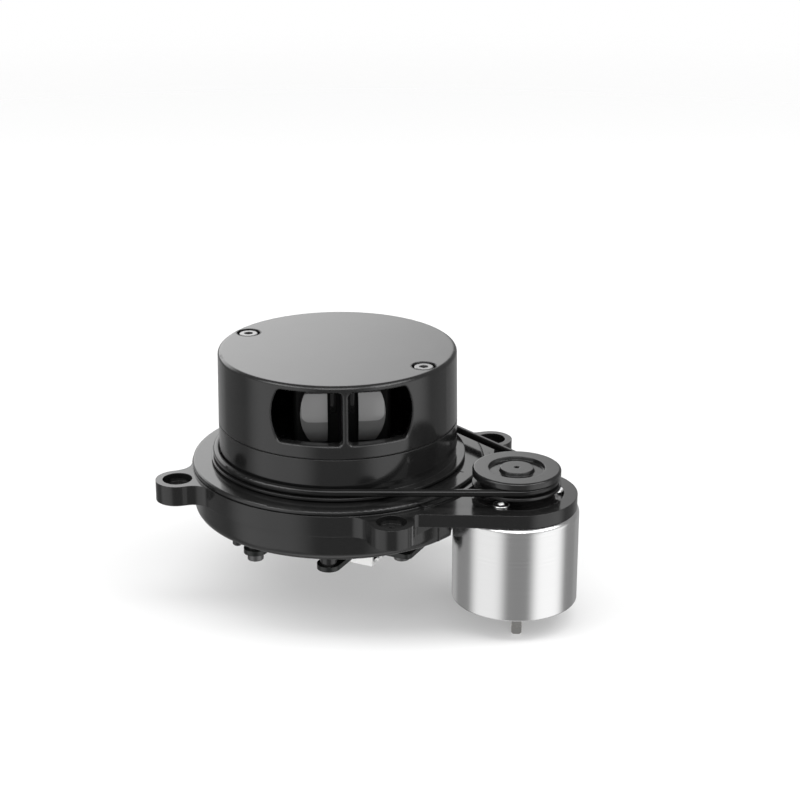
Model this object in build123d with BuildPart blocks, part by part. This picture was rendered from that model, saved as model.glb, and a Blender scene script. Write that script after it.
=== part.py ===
from build123d import *
import os
from math import asin, cos, degrees, hypot, pi, radians, sin, sqrt, tan

# Belt-driven scanning range finder. The head spins about +Z, the motor stands at +X, and z = 0 is the
# underside of the four mounting ears. Every length is in millimetres and every angle in degrees.

# Clearances
fit_gap = 0.05          # pressed or clamped fits inside one assembly
run_gap = 0.3           # beside anything that turns
seat_gap = 0.15         # belt to pulley rims
split_gap = 0.15        # visible joint between two mouldings

# Mounting ears
ear_pitch = 55.5
ear_radius = 5.1
ear_thickness = 4.75
ear_root_radius = 4.5
ear_stand_out = 4.34     # hole centres outside the shell wall
ear_bore_radius = 1.7
ear_head_radius = 3.45
ear_head_depth = 2.0

# Base bowl
shell_draft = 0.5
rim_step = 0.15
bowl_drop = 6.5
floor_thickness = 2.2
shell_wall = 2.0
shell_foot_round = 2.5

# Motor arm
motor_stand_off = 11.0   # motor axis outside the shell wall
arm_end_radius = 14.0
arm_thickness = 3.1
arm_taper_angle = 23.4
arm_corner_radius = 1.7
nest_rib_width = 1.3      # raised rib along the shell's edge
nest_rib_height = 0.55
nest_rib_half_angle = 30.5
pocket_radius = 10.9
pocket_depth = 0.6
gusset_thickness = 1.6
gusset_height = 4.2
gusset_spread = 17.4
gusset_reach = 6.0

# Cover ring
ring_width = 5.9
ring_height = 1.23
ring_inset = 0.25         # ring's edge inside the shell's
ring_edge_round = 0.45
ring_shadow = 0.45        # depth of the groove under the ring's edge
ring_spigot_height = 2.0
ring_rebate = 0.5
ring_spigot_thickness = 1.2

# Spindle bearing
bearing_bore_radius = 8.5
bearing_outer_radius = 13.0
bearing_width = 5.0
hub_foot = 1.7
bearing_race = 1.25
ball_radius = 1.35
ball_count = 14
hub_wall = 2.3
hub_ledge = 1.6

# Head and rotor
flange_overlap = 1.2     # rotor flange over the ring
flange_step = 2.2        # rotor flange outside the belt groove
head_draft = 0.25
cover_height = 17.1
rotor_skirt_height = 6.58
head_wall = 2.0
head_top_thickness = 1.5
head_edge_round = 0.85
rotor_flange_thickness = 0.75
rotor_web_thickness = 2.0
rotor_hub_bore_radius = 6.0
rotor_hub_shoulder = 1.5
lip_thickness = 1.1
lip_height = 1.5
post_radius = 3.0

# Window pair, seen from outside the head
window_angle = -58.6
window_half_angle = 34.0
window_shift = 0.5        # divider off the pair's middle
window_sill = 3.2
window_lintel = 1.55
window_divider = 1.3
window_end_radius = 12.6
window_corner_radius = 1.1
window_bevel = 0.3

# Head screws, M2.5 socket caps
cap_inset = 3.8
cover_screw_angle = -8.0
cover_screw_spread = 187.6
cap_head_radius = 2.25
cap_head_height = 2.5
cap_shank_radius = 1.25
cap_shank_length = 9.0
cap_socket_size = 2.0
cap_socket_depth = 1.1
cap_pocket_radius = 2.8
cap_sink = 0.15

# Drive belt
belt_width = 1.65
belt_height = 1.7
belt_edge_round = 0.7

# Drive pulley
pulley_groove_radius = 8.0
pulley_flange_radius = 10.15
pulley_cap_thickness = 1.55
pulley_flange_thickness = 0.63
pulley_recess_outer = 6.5
pulley_recess_inner = 3.75
pulley_recess_depth = 0.8
pulley_pin_radius = 0.6
shaft_radius = 1.0

# Motor
can_radius = 14.5
can_length = 22.5
can_wall = 1.0
can_shoulder_round = 1.4
can_boss_radius = 3.6
can_boss_height = 1.5
magnet_thickness = 3.2
magnet_length = 15.5
magnet_gap_angle = 40.0
air_gap = 0.45
core_length = 12.0
core_slot_count = 3
core_slot_width = 2.2
bell_thickness = 2.4
bushing_radius = 2.6
bushing_length = 2.6
terminal_radius = 10.4
terminal_drop = 5.2
terminal_width = 2.4
terminal_thickness = 0.5
terminal_angle = -64.0
commutator_radius = 3.0
pole_shoe = 1.6
pole_width = 3.4
pole_hub = 1.6
coil_overhang = 1.4
motor_screw_radius = 9.0
motor_screw_count = 3
motor_screw_angle = -90.0
motor_screw_head = 1.9
motor_screw_head_height = 1.0
motor_screw_shank = 1.0
motor_screw_length = 3.6

# Electronics
board_inset = 9.8        # board end inside the bowl's foot
board_half_y = 12.1
standoff_length = 4.2
board_thickness = 1.2
board_corner_radius = 1.5
tongue_x = 9.7
tongue_inset = 10.9
tongue_radius = 2.75
standoff_radius = 2.0
standoff_inset = 3.7
board_screw_head = 1.9
board_screw_head_height = 1.8
board_screw_shank = 1.0
board_screw_length = 4.2
connector_mouth_x = 13.8
connector_y = -2.4
connector_depth = 5.7
connector_width = 14.9
connector_height = 4.8
connector_wall = 0.8
connector_pin_count = 5
connector_pin_pitch = 2.5
connector_pin_size = 0.64
connector_key_inset = 2.5
connector_key_width = 1.6
coil_post_radius = 4.6
coil_post_flange = 2.6
coil_foot_thickness = 1.6
coil_height = 2.0
coil_thickness = 1.3
coil_gap = 1.2
rotor_board_stand = 2.57
rotor_board_thickness = 1.6
bench_corner_inset = 5.9
bench_boss_radius = 2.4
encoder_teeth = 24
encoder_inset = 6.0
encoder_thickness = 1.0
encoder_height = 2.6
sensor_angle = 180.0
fork_length = 5.4
fork_width = 6.0
retaining_thickness = 0.8

# Optical bench
bench_margin = 1.4
bench_depth = 22.6
bench_set_back = 11.4
bench_corner_radius = 2.0
bench_foot_thickness = 1.6
bench_wall = 1.6
bench_top_gap = 0.3
lens_inner = 3.5
lens_outer = 9.7
lens_drop = 2.05
lens_half_height = 7.0
lens_arc_radius = 11.5
lens_edge = 1.0
lens_dome_radius = 16.0
lens_rise = 2.4
lens_lip = 0.8
optic_axis = 6.6
laser_barrel_radius = 3.2
laser_length = 8.0
sensor_board_width = 11.0
sensor_board_height = 12.0
sensor_board_thickness = 1.2
sensor_chip_size = 7.0
sensor_chip_thickness = 1.5

# Heights and radii that follow from the sizes above
ear_reach = ear_pitch / sqrt(2)
shell_radius = ear_reach - ear_stand_out
shell_foot_radius = shell_radius - shell_draft
motor_offset = shell_radius + motor_stand_off
ring_inner_radius = shell_radius - ring_width
ring_outer_radius = shell_radius - ring_inset
rotor_flange_radius = ring_inner_radius + flange_overlap
head_radius = rotor_flange_radius - flange_step
seam_radius = head_radius + head_draft
belt_groove_radius = head_radius
cover_screw_radius = head_radius - cap_inset
deck_z = ear_thickness
arm_bottom_z = deck_z - arm_thickness
shell_top_z = deck_z + rim_step
floor_z = -bowl_drop
floor_top_z = floor_z + floor_thickness
ring_top_z = shell_top_z + ring_height
rebate_radius = shell_foot_radius - shell_wall + ring_rebate
bearing_z = floor_top_z + hub_foot
bearing_top_z = bearing_z + bearing_width
web_bottom_z = ring_top_z + run_gap
web_top_z = web_bottom_z + rotor_web_thickness
flange_top_z = web_bottom_z + rotor_flange_thickness
belt_z = flange_top_z + seat_gap
groove_top_z = belt_z + belt_height + seat_gap
seam_z = groove_top_z + rotor_skirt_height
head_top_z = seam_z + cover_height
window_bottom_z = seam_z + window_sill
window_top_z = head_top_z - window_lintel
pulley_bottom_z = flange_top_z - pulley_flange_thickness
pulley_top_z = groove_top_z + pulley_cap_thickness
rotor_board_z = web_top_z + rotor_board_stand
board_top_z = floor_z - standoff_length
head_inner_radius = head_radius - head_wall
rotor_board_radius = head_inner_radius - lip_thickness - run_gap
bench_screw_spread = (rotor_board_radius - bench_corner_inset) / sqrt(2)
bench_length = 2 * (bench_screw_spread + bench_boss_radius)
bench_half_width = lens_outer + bench_margin
bench_front_u = head_radius - bench_set_back
bench_rear_u = bench_front_u - bench_depth
encoder_radius = ring_inner_radius - encoder_inset
board_half_x = shell_foot_radius - board_inset
standoff_x = board_half_x - standoff_inset
standoff_y = board_half_y - standoff_inset
tongue_reach = shell_foot_radius - tongue_inset
rotor_inner_radius = seam_radius - head_wall
post_top_z = head_top_z - cap_sink - cap_head_height - head_top_thickness
window_mid_z = (window_bottom_z + window_top_z) / 2
lens_mid_z = window_mid_z - lens_drop
pocket_floor_z = deck_z - pocket_depth
can_top_z = arm_bottom_z
can_bottom_z = can_top_z - can_length
motor_nest_radius = can_radius + 0.5
board_bottom_z = board_top_z - board_thickness
head_belt_radius = belt_groove_radius + seat_gap
pulley_belt_radius = pulley_groove_radius + seat_gap
motor_section = Plane(origin=(motor_offset, 0, 0), x_dir=(1, 0, 0), z_dir=(0, -1, 0))
motor_spin = Axis((motor_offset, 0, 0), (0, 0, 1))
window_plane = Plane(
    origin=(0, 0, 0),
    x_dir=(-sin(radians(window_angle)), cos(radians(window_angle)), 0),
    z_dir=(cos(radians(window_angle)), sin(radians(window_angle)), 0),
)
board_spots = [(x, y) for x in (-standoff_x, standoff_x) for y in (-standoff_y, standoff_y)]
tongue_spots = [(-tongue_x, -tongue_reach), (tongue_x, -tongue_reach)]


def bench_level(height):
    """A horizontal plane at this height, with its X pointing out through the windows."""
    return Plane(origin=(0, 0, height), x_dir=window_plane.z_dir, z_dir=(0, 0, 1))


def motor_level(height):
    """A horizontal plane at this height, centred on the motor's axis."""
    return Plane(origin=(motor_offset, 0, height))


def cover_screw_spots(turn=0.0):
    """The places of the two cover screws, turned about the head's axis."""
    first = cover_screw_angle + turn
    return PolarLocations(cover_screw_radius, 2, first, cover_screw_spread, endpoint=True)


def ear_corners(sketch, radius):
    """The concave corners where outlines meet the round shell."""
    return [v for v in sketch.vertices() if abs(hypot(v.X, v.Y) - radius) < 0.01]


# Base housing: a bowl with four ears, a motor arm, a bearing hub and standoffs for the board
with BuildPart() as base_housing:
    with BuildSketch(Plane.XZ) as bowl_outside:
        with BuildLine():
            Polyline(
                (0, floor_z),
                (shell_foot_radius, floor_z),
                (shell_radius, shell_top_z),
                (0, shell_top_z),
                close=True,
            )
        make_face()
    revolve(axis=Axis.Z)
    fillet(base_housing.edges().filter_by(GeomType.CIRCLE).sort_by(Axis.Z)[0], shell_foot_round)
    # Ears flare into the shell with concave roots
    with BuildSketch(Plane.XY) as ear_outline:
        Circle(shell_radius)
        with PolarLocations(ear_reach / 2, 4, start_angle=45):
            Rectangle(ear_reach, 2 * ear_radius)
        with PolarLocations(ear_reach, 4, start_angle=45):
            Circle(ear_radius)
        fillet(ear_corners(ear_outline, shell_radius), ear_root_radius)
    extrude(amount=ear_thickness)
    # The arm narrows towards the motor and ends round it
    end_angle = 90 - arm_taper_angle
    tangent_x = motor_offset + arm_end_radius * cos(radians(end_angle))
    tangent_y = arm_end_radius * sin(radians(end_angle))
    root_x = ear_pitch / 2
    root_y = tangent_y + (tangent_x - root_x) * tan(radians(arm_taper_angle))
    with BuildSketch(Plane.XY.offset(arm_bottom_z)) as arm_outline:
        with BuildLine():
            CenterArc((motor_offset, 0), arm_end_radius, -end_angle, 2 * end_angle)
            Polyline(
                (tangent_x, tangent_y),
                (root_x, root_y),
                (root_x, -root_y),
                (tangent_x, -tangent_y),
            )
        make_face()
        with PolarLocations(ear_reach / 2, 4, start_angle=45):
            Rectangle(ear_reach, 2 * ear_radius)
        outer_vertices = arm_outline.vertices().filter_by(lambda v: v.X > root_x)
        arm_corners = outer_vertices.filter_by(lambda v: abs(v.Y) > tangent_y + 0.1)
        fillet(arm_corners.sort_by(lambda v: abs(v.Y))[:2], arm_corner_radius)
    extrude(amount=arm_thickness)
    # Gussets carry the arm on the shell wall
    for side in (-1, 1):
        with BuildSketch(Plane.XZ.offset(-side * gusset_spread)) as gusset_outline:
            wall_x = sqrt(shell_foot_radius**2 - gusset_spread**2) - shell_wall / 2
            with BuildLine():
                Polyline(
                    (wall_x, arm_bottom_z),
                    (wall_x + gusset_reach, arm_bottom_z),
                    (wall_x, arm_bottom_z - gusset_height),
                    close=True,
                )
            make_face()
        extrude(amount=gusset_thickness / 2, both=True)
    # Open the bowl, leaving the wall, the floor and a wall round the motor nest
    with BuildSketch(Plane.XY.offset(floor_top_z)) as cavity_outline:
        Circle(shell_foot_radius - shell_wall)
        with Locations((motor_offset, 0)):
            Circle(motor_nest_radius + shell_wall, mode=Mode.SUBTRACT)
        fillet(cavity_outline.vertices(), 2.0)
    extrude(amount=shell_top_z - floor_top_z, mode=Mode.SUBTRACT)
    with BuildSketch(Plane.XY.offset(deck_z - shell_wall)) as spigot_rebate:
        Circle(rebate_radius)
    extrude(amount=2 * shell_wall, mode=Mode.SUBTRACT)
    # Bearing hub with a ledge under the outer race
    with BuildSketch(Plane.XY.offset(floor_top_z)) as hub_outline:
        Circle(bearing_outer_radius + fit_gap + hub_wall)
    extrude(amount=bearing_top_z - floor_top_z)
    with BuildSketch(Plane.XY.offset(bearing_z)) as race_seat:
        Circle(bearing_outer_radius + fit_gap)
    extrude(amount=bearing_width, mode=Mode.SUBTRACT)
    with BuildSketch(Plane.XY.offset(floor_z)) as hub_bore:
        Circle(bearing_outer_radius - hub_ledge)
    extrude(amount=bearing_z - floor_z, mode=Mode.SUBTRACT)
    # Ribs tie the hub to the bowl wall
    with BuildSketch(Plane.XY.offset(floor_top_z)) as hub_ribs:
        rib_inner = bearing_outer_radius + hub_wall
        rib_outer = shell_foot_radius - shell_wall
        with PolarLocations((rib_inner + rib_outer) / 2, 6, start_angle=30):
            Rectangle(rib_outer - rib_inner + 1, gusset_thickness)
        with Locations((motor_offset, 0)):
            Circle(motor_nest_radius, mode=Mode.SUBTRACT)
    extrude(amount=bearing_z - floor_top_z + 1.6)
    # Standoffs under the floor, for the board's corners and its two tongues
    with BuildSketch(Plane.XY.offset(floor_z + floor_thickness / 2)) as standoff_outline:
        with Locations(*board_spots, *tongue_spots):
            Circle(standoff_radius)
    extrude(amount=board_top_z - floor_z - floor_thickness / 2)
    # Motor nest, bearing pocket in the arm and the motor's fixings
    with BuildSketch(Plane.XY.offset(can_top_z)) as nest_outline:
        with Locations((motor_offset, 0)):
            Circle(motor_nest_radius)
    extrude(amount=floor_z - can_top_z - 1, mode=Mode.SUBTRACT)
    with BuildSketch(Plane.XY.offset(pocket_floor_z)) as pocket_outline:
        with Locations((motor_offset, 0)):
            Circle(pocket_radius)
    extrude(amount=pocket_depth, mode=Mode.SUBTRACT)
    with Locations((motor_offset, 0, pocket_floor_z)):
        Hole(can_boss_radius + fit_gap, depth=pocket_floor_z - can_top_z)
        with PolarLocations(motor_screw_radius, motor_screw_count, start_angle=motor_screw_angle):
            Hole(motor_screw_shank + fit_gap, depth=pocket_floor_z - can_top_z)
    # A raised rib runs along the shell's edge on the arm's side
    with BuildSketch(Plane.XY.offset(pocket_floor_z)) as nest_rib:
        Circle(shell_radius + nest_rib_width)
        Circle(ring_outer_radius + split_gap, mode=Mode.SUBTRACT)
        with BuildLine():
            rib_end = 2 * shell_radius * cos(radians(nest_rib_half_angle))
            rib_side = 2 * shell_radius * sin(radians(nest_rib_half_angle))
            Polyline((0, 0), (rib_end, -rib_side), (rib_end, rib_side), close=True)
        make_face(mode=Mode.INTERSECT)
    extrude(amount=pocket_depth + nest_rib_height)
    # Screw holes up the standoffs
    with BuildSketch(Plane.XY.offset(board_top_z)) as standoff_holes:
        with Locations(*board_spots, *tongue_spots):
            Circle(board_screw_shank + fit_gap)
    extrude(amount=board_screw_length - board_thickness + 0.4, mode=Mode.SUBTRACT)
    # Counterbored holes through the ears
    with Locations((0, 0, ear_thickness)):
        with PolarLocations(ear_reach, 4, start_angle=45):
            CounterBoreHole(ear_bore_radius, ear_head_radius, ear_head_depth, depth=ear_thickness)
base_housing.part.label = "base_housing"

# Cover ring: a thin rounded ring on the shell's rim, with a spigot inside the bowl
with BuildPart() as cover_ring:
    ring_bottom_z = shell_top_z + split_gap
    spigot_radius = rebate_radius - fit_gap
    with BuildSketch(Plane.XZ) as ring_profile:
        with BuildLine():
            Polyline(
                (ring_inner_radius, ring_bottom_z),
                (spigot_radius - ring_spigot_thickness, ring_bottom_z),
                (spigot_radius - ring_spigot_thickness, ring_bottom_z - ring_spigot_height),
                (spigot_radius, ring_bottom_z - ring_spigot_height),
                (spigot_radius, shell_top_z),
                (ring_outer_radius - ring_shadow, shell_top_z),
                (ring_outer_radius - ring_shadow, ring_bottom_z),
                (ring_outer_radius, ring_bottom_z),
                (ring_outer_radius, ring_top_z),
                (ring_inner_radius, ring_top_z),
                close=True,
            )
        make_face()
    revolve(axis=Axis.Z)
    ring_rims = cover_ring.edges().filter_by(GeomType.CIRCLE).sort_by(Axis.Z)[-2:].sort_by(SortBy.RADIUS)
    fillet(ring_rims[-1], ring_edge_round)
    fillet(ring_rims[0], run_gap)
cover_ring.part.label = "cover_ring"

# Spindle bearing: two grooved races and a ring of balls
ball_circle_radius = (bearing_bore_radius + bearing_outer_radius) / 2
bearing_mid_z = bearing_z + bearing_width / 2
groove_radius = ball_radius + fit_gap


def race_profile(inner, outer):
    """Half section of a race, cut by the groove that the balls run in."""
    with Locations(((inner + outer) / 2, bearing_mid_z)):
        Rectangle(outer - inner, bearing_width)
    with Locations((ball_circle_radius, bearing_mid_z)):
        Circle(groove_radius, mode=Mode.SUBTRACT)


with BuildPart() as bearing_outer_race:
    with BuildSketch(Plane.XZ):
        race_profile(bearing_outer_radius - bearing_race, bearing_outer_radius)
    revolve(axis=Axis.Z)
bearing_outer_race.part.label = "bearing_outer_race"

with BuildPart() as bearing_inner_race:
    with BuildSketch(Plane.XZ):
        race_profile(bearing_bore_radius, bearing_bore_radius + bearing_race)
    revolve(axis=Axis.Z)
bearing_inner_race.part.label = "bearing_inner_race"

with BuildPart() as bearing_balls:
    with Locations((0, 0, bearing_mid_z)):
        with PolarLocations(ball_circle_radius, ball_count):
            Sphere(ball_radius)
bearing_balls.part.label = "bearing_balls"

# Rotor base: hub, web, belt groove, rim and two posts for the cover's screws
with BuildPart() as rotor_base:
    hub_radius = bearing_bore_radius - fit_gap
    rim_z = seam_z - split_gap
    with BuildSketch(Plane.XZ) as rotor_profile:
        with BuildLine():
            Polyline(
                (rotor_hub_bore_radius, bearing_z),
                (hub_radius, bearing_z),
                (hub_radius, bearing_top_z),
                (hub_radius + rotor_hub_shoulder, bearing_top_z),
                (hub_radius + rotor_hub_shoulder, web_bottom_z),
                (rotor_flange_radius, web_bottom_z),
                (rotor_flange_radius, flange_top_z),
                (belt_groove_radius, flange_top_z),
                (belt_groove_radius, groove_top_z),
                (seam_radius, groove_top_z + seat_gap),
                (seam_radius, rim_z),
                (head_inner_radius - fit_gap, rim_z),
                (head_inner_radius - fit_gap, seam_z + lip_height),
                (head_inner_radius - lip_thickness, seam_z + lip_height),
                (head_inner_radius - lip_thickness, rim_z - head_wall),
                (rotor_inner_radius - head_wall / 2, rim_z - 2 * head_wall),
                (rotor_inner_radius - head_wall / 2, web_top_z),
                (rotor_hub_bore_radius, web_top_z),
                close=True,
            )
        make_face()
    revolve(axis=Axis.Z)
    rotor_circles = rotor_base.edges().filter_by(GeomType.CIRCLE)
    web_rims = rotor_circles.filter_by_position(Axis.Z, web_bottom_z - 0.01, web_bottom_z + 0.01)
    fillet(web_rims.sort_by(SortBy.RADIUS)[-1], 0.3)
    # Posts for the cover's screws, cut clear of the cover's wall
    with BuildSketch(Plane.XY.offset(web_top_z)) as post_outline:
        with cover_screw_spots():
            Circle(post_radius)
        Circle(head_inner_radius - fit_gap, mode=Mode.INTERSECT)
    extrude(amount=post_top_z - web_top_z)
    with BuildSketch(Plane.XY.offset(post_top_z)) as post_holes:
        with cover_screw_spots():
            Circle(cap_shank_radius + fit_gap)
    extrude(amount=-cap_shank_length, mode=Mode.SUBTRACT)
    # Bosses that carry the rotor board and the optical bench
    with BuildSketch(bench_level(web_top_z)) as boss_outline:
        with GridLocations(2 * bench_screw_spread, 2 * bench_screw_spread, 2, 2):
            Circle(bench_boss_radius)
            Circle(board_screw_shank + fit_gap, mode=Mode.SUBTRACT)
    extrude(amount=rotor_board_z - web_top_z)
    # Ribs stiffen the web between the hub and the rim
    with BuildSketch(Plane.XY.offset(web_top_z)) as web_ribs:
        with PolarLocations((hub_radius + rotor_inner_radius) / 2, 8, start_angle=window_angle + 22.5):
            Rectangle(rotor_inner_radius - hub_radius - 1, 1.2)
    extrude(amount=(rotor_board_z - web_top_z) / 2)
rotor_base.part.label = "rotor_base"

# Encoder ring: teeth under the web that pass the speed sensor
with BuildPart() as encoder_ring:
    with BuildSketch(Plane.XY.offset(web_bottom_z)) as encoder_rim:
        Circle(encoder_radius)
        Circle(encoder_radius - encoder_thickness - 1.0, mode=Mode.SUBTRACT)
    extrude(amount=-0.8)
    with BuildSketch(Plane.XY.offset(web_bottom_z - 0.8)) as encoder_outline:
        with PolarLocations(encoder_radius - encoder_thickness / 2, encoder_teeth):
            Rectangle(encoder_thickness, pi * encoder_radius / encoder_teeth)
    extrude(amount=0.8 - encoder_height)
encoder_ring.part.label = "encoder_ring"

# Head cover: a cap with a window pair and two screw pockets
with BuildPart() as head_cover:
    with BuildSketch(Plane.XZ) as cover_profile:
        with BuildLine():
            Polyline(
                (head_inner_radius, seam_z),
                (seam_radius, seam_z),
                (head_radius, head_top_z),
                (0, head_top_z),
                (0, head_top_z - head_top_thickness),
                (head_inner_radius, head_top_z - head_top_thickness),
                close=True,
            )
        make_face()
    revolve(axis=Axis.Z)
    fillet(head_cover.edges().filter_by(GeomType.CIRCLE).sort_by(Axis.Z)[-1], head_edge_round)
    # Bosses under the top carry the screw heads
    with BuildSketch(Plane.XY.offset(post_top_z)) as cover_bosses:
        with cover_screw_spots():
            Circle(cap_pocket_radius + 1.4)
        Circle(head_inner_radius + head_wall / 2, mode=Mode.INTERSECT)
    extrude(amount=head_top_z - head_top_thickness - post_top_z)
    with Locations((0, 0, head_top_z)):
        with cover_screw_spots():
            CounterBoreHole(
                cap_shank_radius + 0.15,
                cap_pocket_radius,
                cap_sink + cap_head_height,
                depth=head_top_z - post_top_z,
            )
    # Two apertures with rounded ends, a narrow divider between them
    window_span = seam_radius * sin(radians(window_half_angle))
    end_chord = (window_top_z - window_bottom_z) / 2
    end_bulge = window_end_radius - sqrt(window_end_radius**2 - end_chord**2)
    with BuildSketch(window_plane) as windows:
        for side in (-1, 1):
            near = side * window_divider / 2
            tip = side * window_span - window_shift
            far = tip - side * end_bulge
            with BuildLine():
                Line((near, window_bottom_z), (near, window_top_z))
                Line((near, window_top_z), (far, window_top_z))
                ThreePointArc((far, window_top_z), (tip, window_mid_z), (far, window_bottom_z))
                Line((far, window_bottom_z), (near, window_bottom_z))
            make_face()
        fillet(windows.vertices(), window_corner_radius)
    extrude(amount=head_radius + 2, mode=Mode.SUBTRACT)
    window_rims = head_cover.edges().filter_by(
        lambda e: all(
            hypot(v.X, v.Y) > head_radius - 0.05 and window_bottom_z - 0.05 < v.Z < window_top_z + 0.05
            for v in e.vertices()
        )
    )
    chamfer(window_rims, window_bevel)
head_cover.part.label = "head_cover"


def cap_screw(head_r, head_h, shank_r, shank_l, socket, socket_depth):
    """A socket cap screw standing on z = 0 with its shank pointing down."""
    with BuildPart(mode=Mode.PRIVATE) as screw:
        Cylinder(head_r, head_h, align=(Align.CENTER, Align.CENTER, Align.MIN))
        fillet(screw.edges().filter_by(GeomType.CIRCLE).sort_by(Axis.Z)[-1], 0.12 * head_r)
        Cylinder(shank_r, shank_l, align=(Align.CENTER, Align.CENTER, Align.MAX))
        with BuildSketch(Plane.XY.offset(head_h)):
            RegularPolygon(socket / 2, 6, major_radius=False)
        extrude(amount=-socket_depth, mode=Mode.SUBTRACT)
    return screw.part


cover_cap = cap_screw(
    cap_head_radius,
    cap_head_height,
    cap_shank_radius,
    cap_shank_length,
    cap_socket_size,
    cap_socket_depth,
)
with BuildPart() as cover_screws:
    with Locations((0, 0, head_top_z - cap_sink - cap_head_height)):
        with cover_screw_spots():
            add(cover_cap)
cover_screws.part.label = "cover_screws"


def belt_loop(head_side, pulley_side):
    """A face bounded by two circles and the two straight runs that touch both."""
    lean = asin((head_side - pulley_side) / motor_offset)
    wrap = 90 - degrees(lean)
    head_x, head_y = head_side * sin(lean), head_side * cos(lean)
    pulley_x, pulley_y = motor_offset + pulley_side * sin(lean), pulley_side * cos(lean)
    with BuildSketch(mode=Mode.PRIVATE) as loop:
        with BuildLine():
            CenterArc((0, 0), head_side, wrap, 360 - 2 * wrap)
            CenterArc((motor_offset, 0), pulley_side, -wrap, 2 * wrap)
            Line((head_x, head_y), (pulley_x, pulley_y))
            Line((head_x, -head_y), (pulley_x, -pulley_y))
        make_face()
    return loop.sketch


# Drive belt: a loop of rounded section round the rotor's groove and the pulley's
with BuildPart() as drive_belt:
    with BuildSketch(Plane.XY.offset(belt_z)):
        add(belt_loop(head_belt_radius + belt_width, pulley_belt_radius + belt_width))
        add(belt_loop(head_belt_radius, pulley_belt_radius), mode=Mode.SUBTRACT)
    extrude(amount=belt_height)
    belt_edges = drive_belt.edges().group_by(Axis.Z)
    fillet(belt_edges[0] + belt_edges[-1], belt_edge_round)
drive_belt.part.label = "drive_belt"

# Drive pulley: one groove, a hub disc standing in a turned recess and a pinhole over the shaft
with BuildPart() as drive_pulley:
    shaft_top_z = pulley_top_z - pulley_recess_depth
    with BuildSketch(motor_section) as pulley_profile:
        with BuildLine():
            Polyline(
                (0, pulley_bottom_z),
                (pulley_flange_radius, pulley_bottom_z),
                (pulley_flange_radius, flange_top_z),
                (pulley_groove_radius, flange_top_z),
                (pulley_groove_radius, groove_top_z),
                (pulley_flange_radius, groove_top_z),
                (pulley_flange_radius, pulley_top_z),
                (pulley_recess_outer, pulley_top_z),
                (pulley_recess_outer - 0.3, pulley_top_z - pulley_recess_depth),
                (pulley_recess_inner + 0.3, pulley_top_z - pulley_recess_depth),
                (pulley_recess_inner, pulley_top_z),
                (0, pulley_top_z),
                close=True,
            )
        make_face()
        fillet(pulley_profile.vertices().group_by(Axis.X)[-1].sort_by(Axis.Y)[-1], 0.5)
    revolve(axis=motor_spin)
    with BuildSketch(motor_level(pulley_bottom_z)):
        Circle(shaft_radius + fit_gap)
    extrude(amount=shaft_top_z - pulley_bottom_z, mode=Mode.SUBTRACT)
    with BuildSketch(motor_level(shaft_top_z)):
        Circle(pulley_pin_radius)
    extrude(amount=pulley_recess_depth, mode=Mode.SUBTRACT)
drive_pulley.part.label = "drive_pulley"

# Motor heights and radii
bell_top_z = can_bottom_z + bell_thickness
can_boss_top_z = can_top_z + can_boss_height
core_top_z = can_top_z - can_wall - bushing_length
core_bottom_z = core_top_z - core_length
magnet_inner_radius = can_radius - can_wall - magnet_thickness
core_radius = magnet_inner_radius - air_gap
commutator_top_z = core_bottom_z - coil_overhang - 0.3
commutator_bottom_z = can_bottom_z + 0.4 + bushing_length + 0.3

# Motor can: a drawn cup, open below, with a bearing boss above
with BuildPart() as motor_can:
    with BuildSketch(motor_section) as can_profile:
        with BuildLine():
            Polyline(
                (can_radius - can_wall, can_bottom_z),
                (can_radius, can_bottom_z),
                (can_radius, can_top_z),
                (can_boss_radius, can_top_z),
                (can_boss_radius, can_boss_top_z),
                (bushing_radius + fit_gap, can_boss_top_z),
                (bushing_radius + fit_gap, can_top_z - can_wall),
                (can_radius - can_wall, can_top_z - can_wall),
                close=True,
            )
        make_face()
        fillet(can_profile.vertices().group_by(Axis.X)[-1].sort_by(Axis.Y)[-1], can_shoulder_round)
    revolve(axis=motor_spin)
    with BuildSketch(motor_level(can_top_z)):
        with PolarLocations(motor_screw_radius, motor_screw_count, start_angle=motor_screw_angle):
            Circle(motor_screw_shank + fit_gap)
    extrude(amount=-can_wall, mode=Mode.SUBTRACT)
motor_can.part.label = "motor_can"

# Magnets: two arcs held by the can wall
with BuildPart() as motor_magnets:
    with BuildSketch(motor_level(core_bottom_z - (magnet_length - core_length) / 2)) as magnet_outline:
        Circle(can_radius - can_wall - fit_gap)
        Circle(magnet_inner_radius, mode=Mode.SUBTRACT)
        gap_width = 2 * can_radius * sin(radians(magnet_gap_angle / 2))
        Rectangle(gap_width, 2 * can_radius, mode=Mode.SUBTRACT)
    extrude(amount=magnet_length)
motor_magnets.part.label = "motor_magnets"

# End bell: a moulded plug in the can's mouth, with slots for the two terminals
with BuildPart() as end_bell:
    with BuildSketch(motor_section) as bell_profile:
        with BuildLine():
            Polyline(
                (bushing_radius + fit_gap, can_bottom_z + 0.4),
                (bushing_radius + 1.6, can_bottom_z + 0.4),
                (bushing_radius + 1.6, can_bottom_z + 0.8),
                (can_radius - can_wall - fit_gap, can_bottom_z + 0.8),
                (can_radius - can_wall - fit_gap, bell_top_z),
                (bushing_radius + fit_gap, bell_top_z),
                close=True,
            )
        make_face()
    revolve(axis=motor_spin)
    with BuildSketch(motor_level(can_bottom_z)):
        with PolarLocations(terminal_radius, 2, start_angle=terminal_angle):
            Rectangle(terminal_thickness + 2 * fit_gap, terminal_width + 2 * fit_gap)
    extrude(amount=bell_thickness, mode=Mode.SUBTRACT)
end_bell.part.label = "end_bell"

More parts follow.
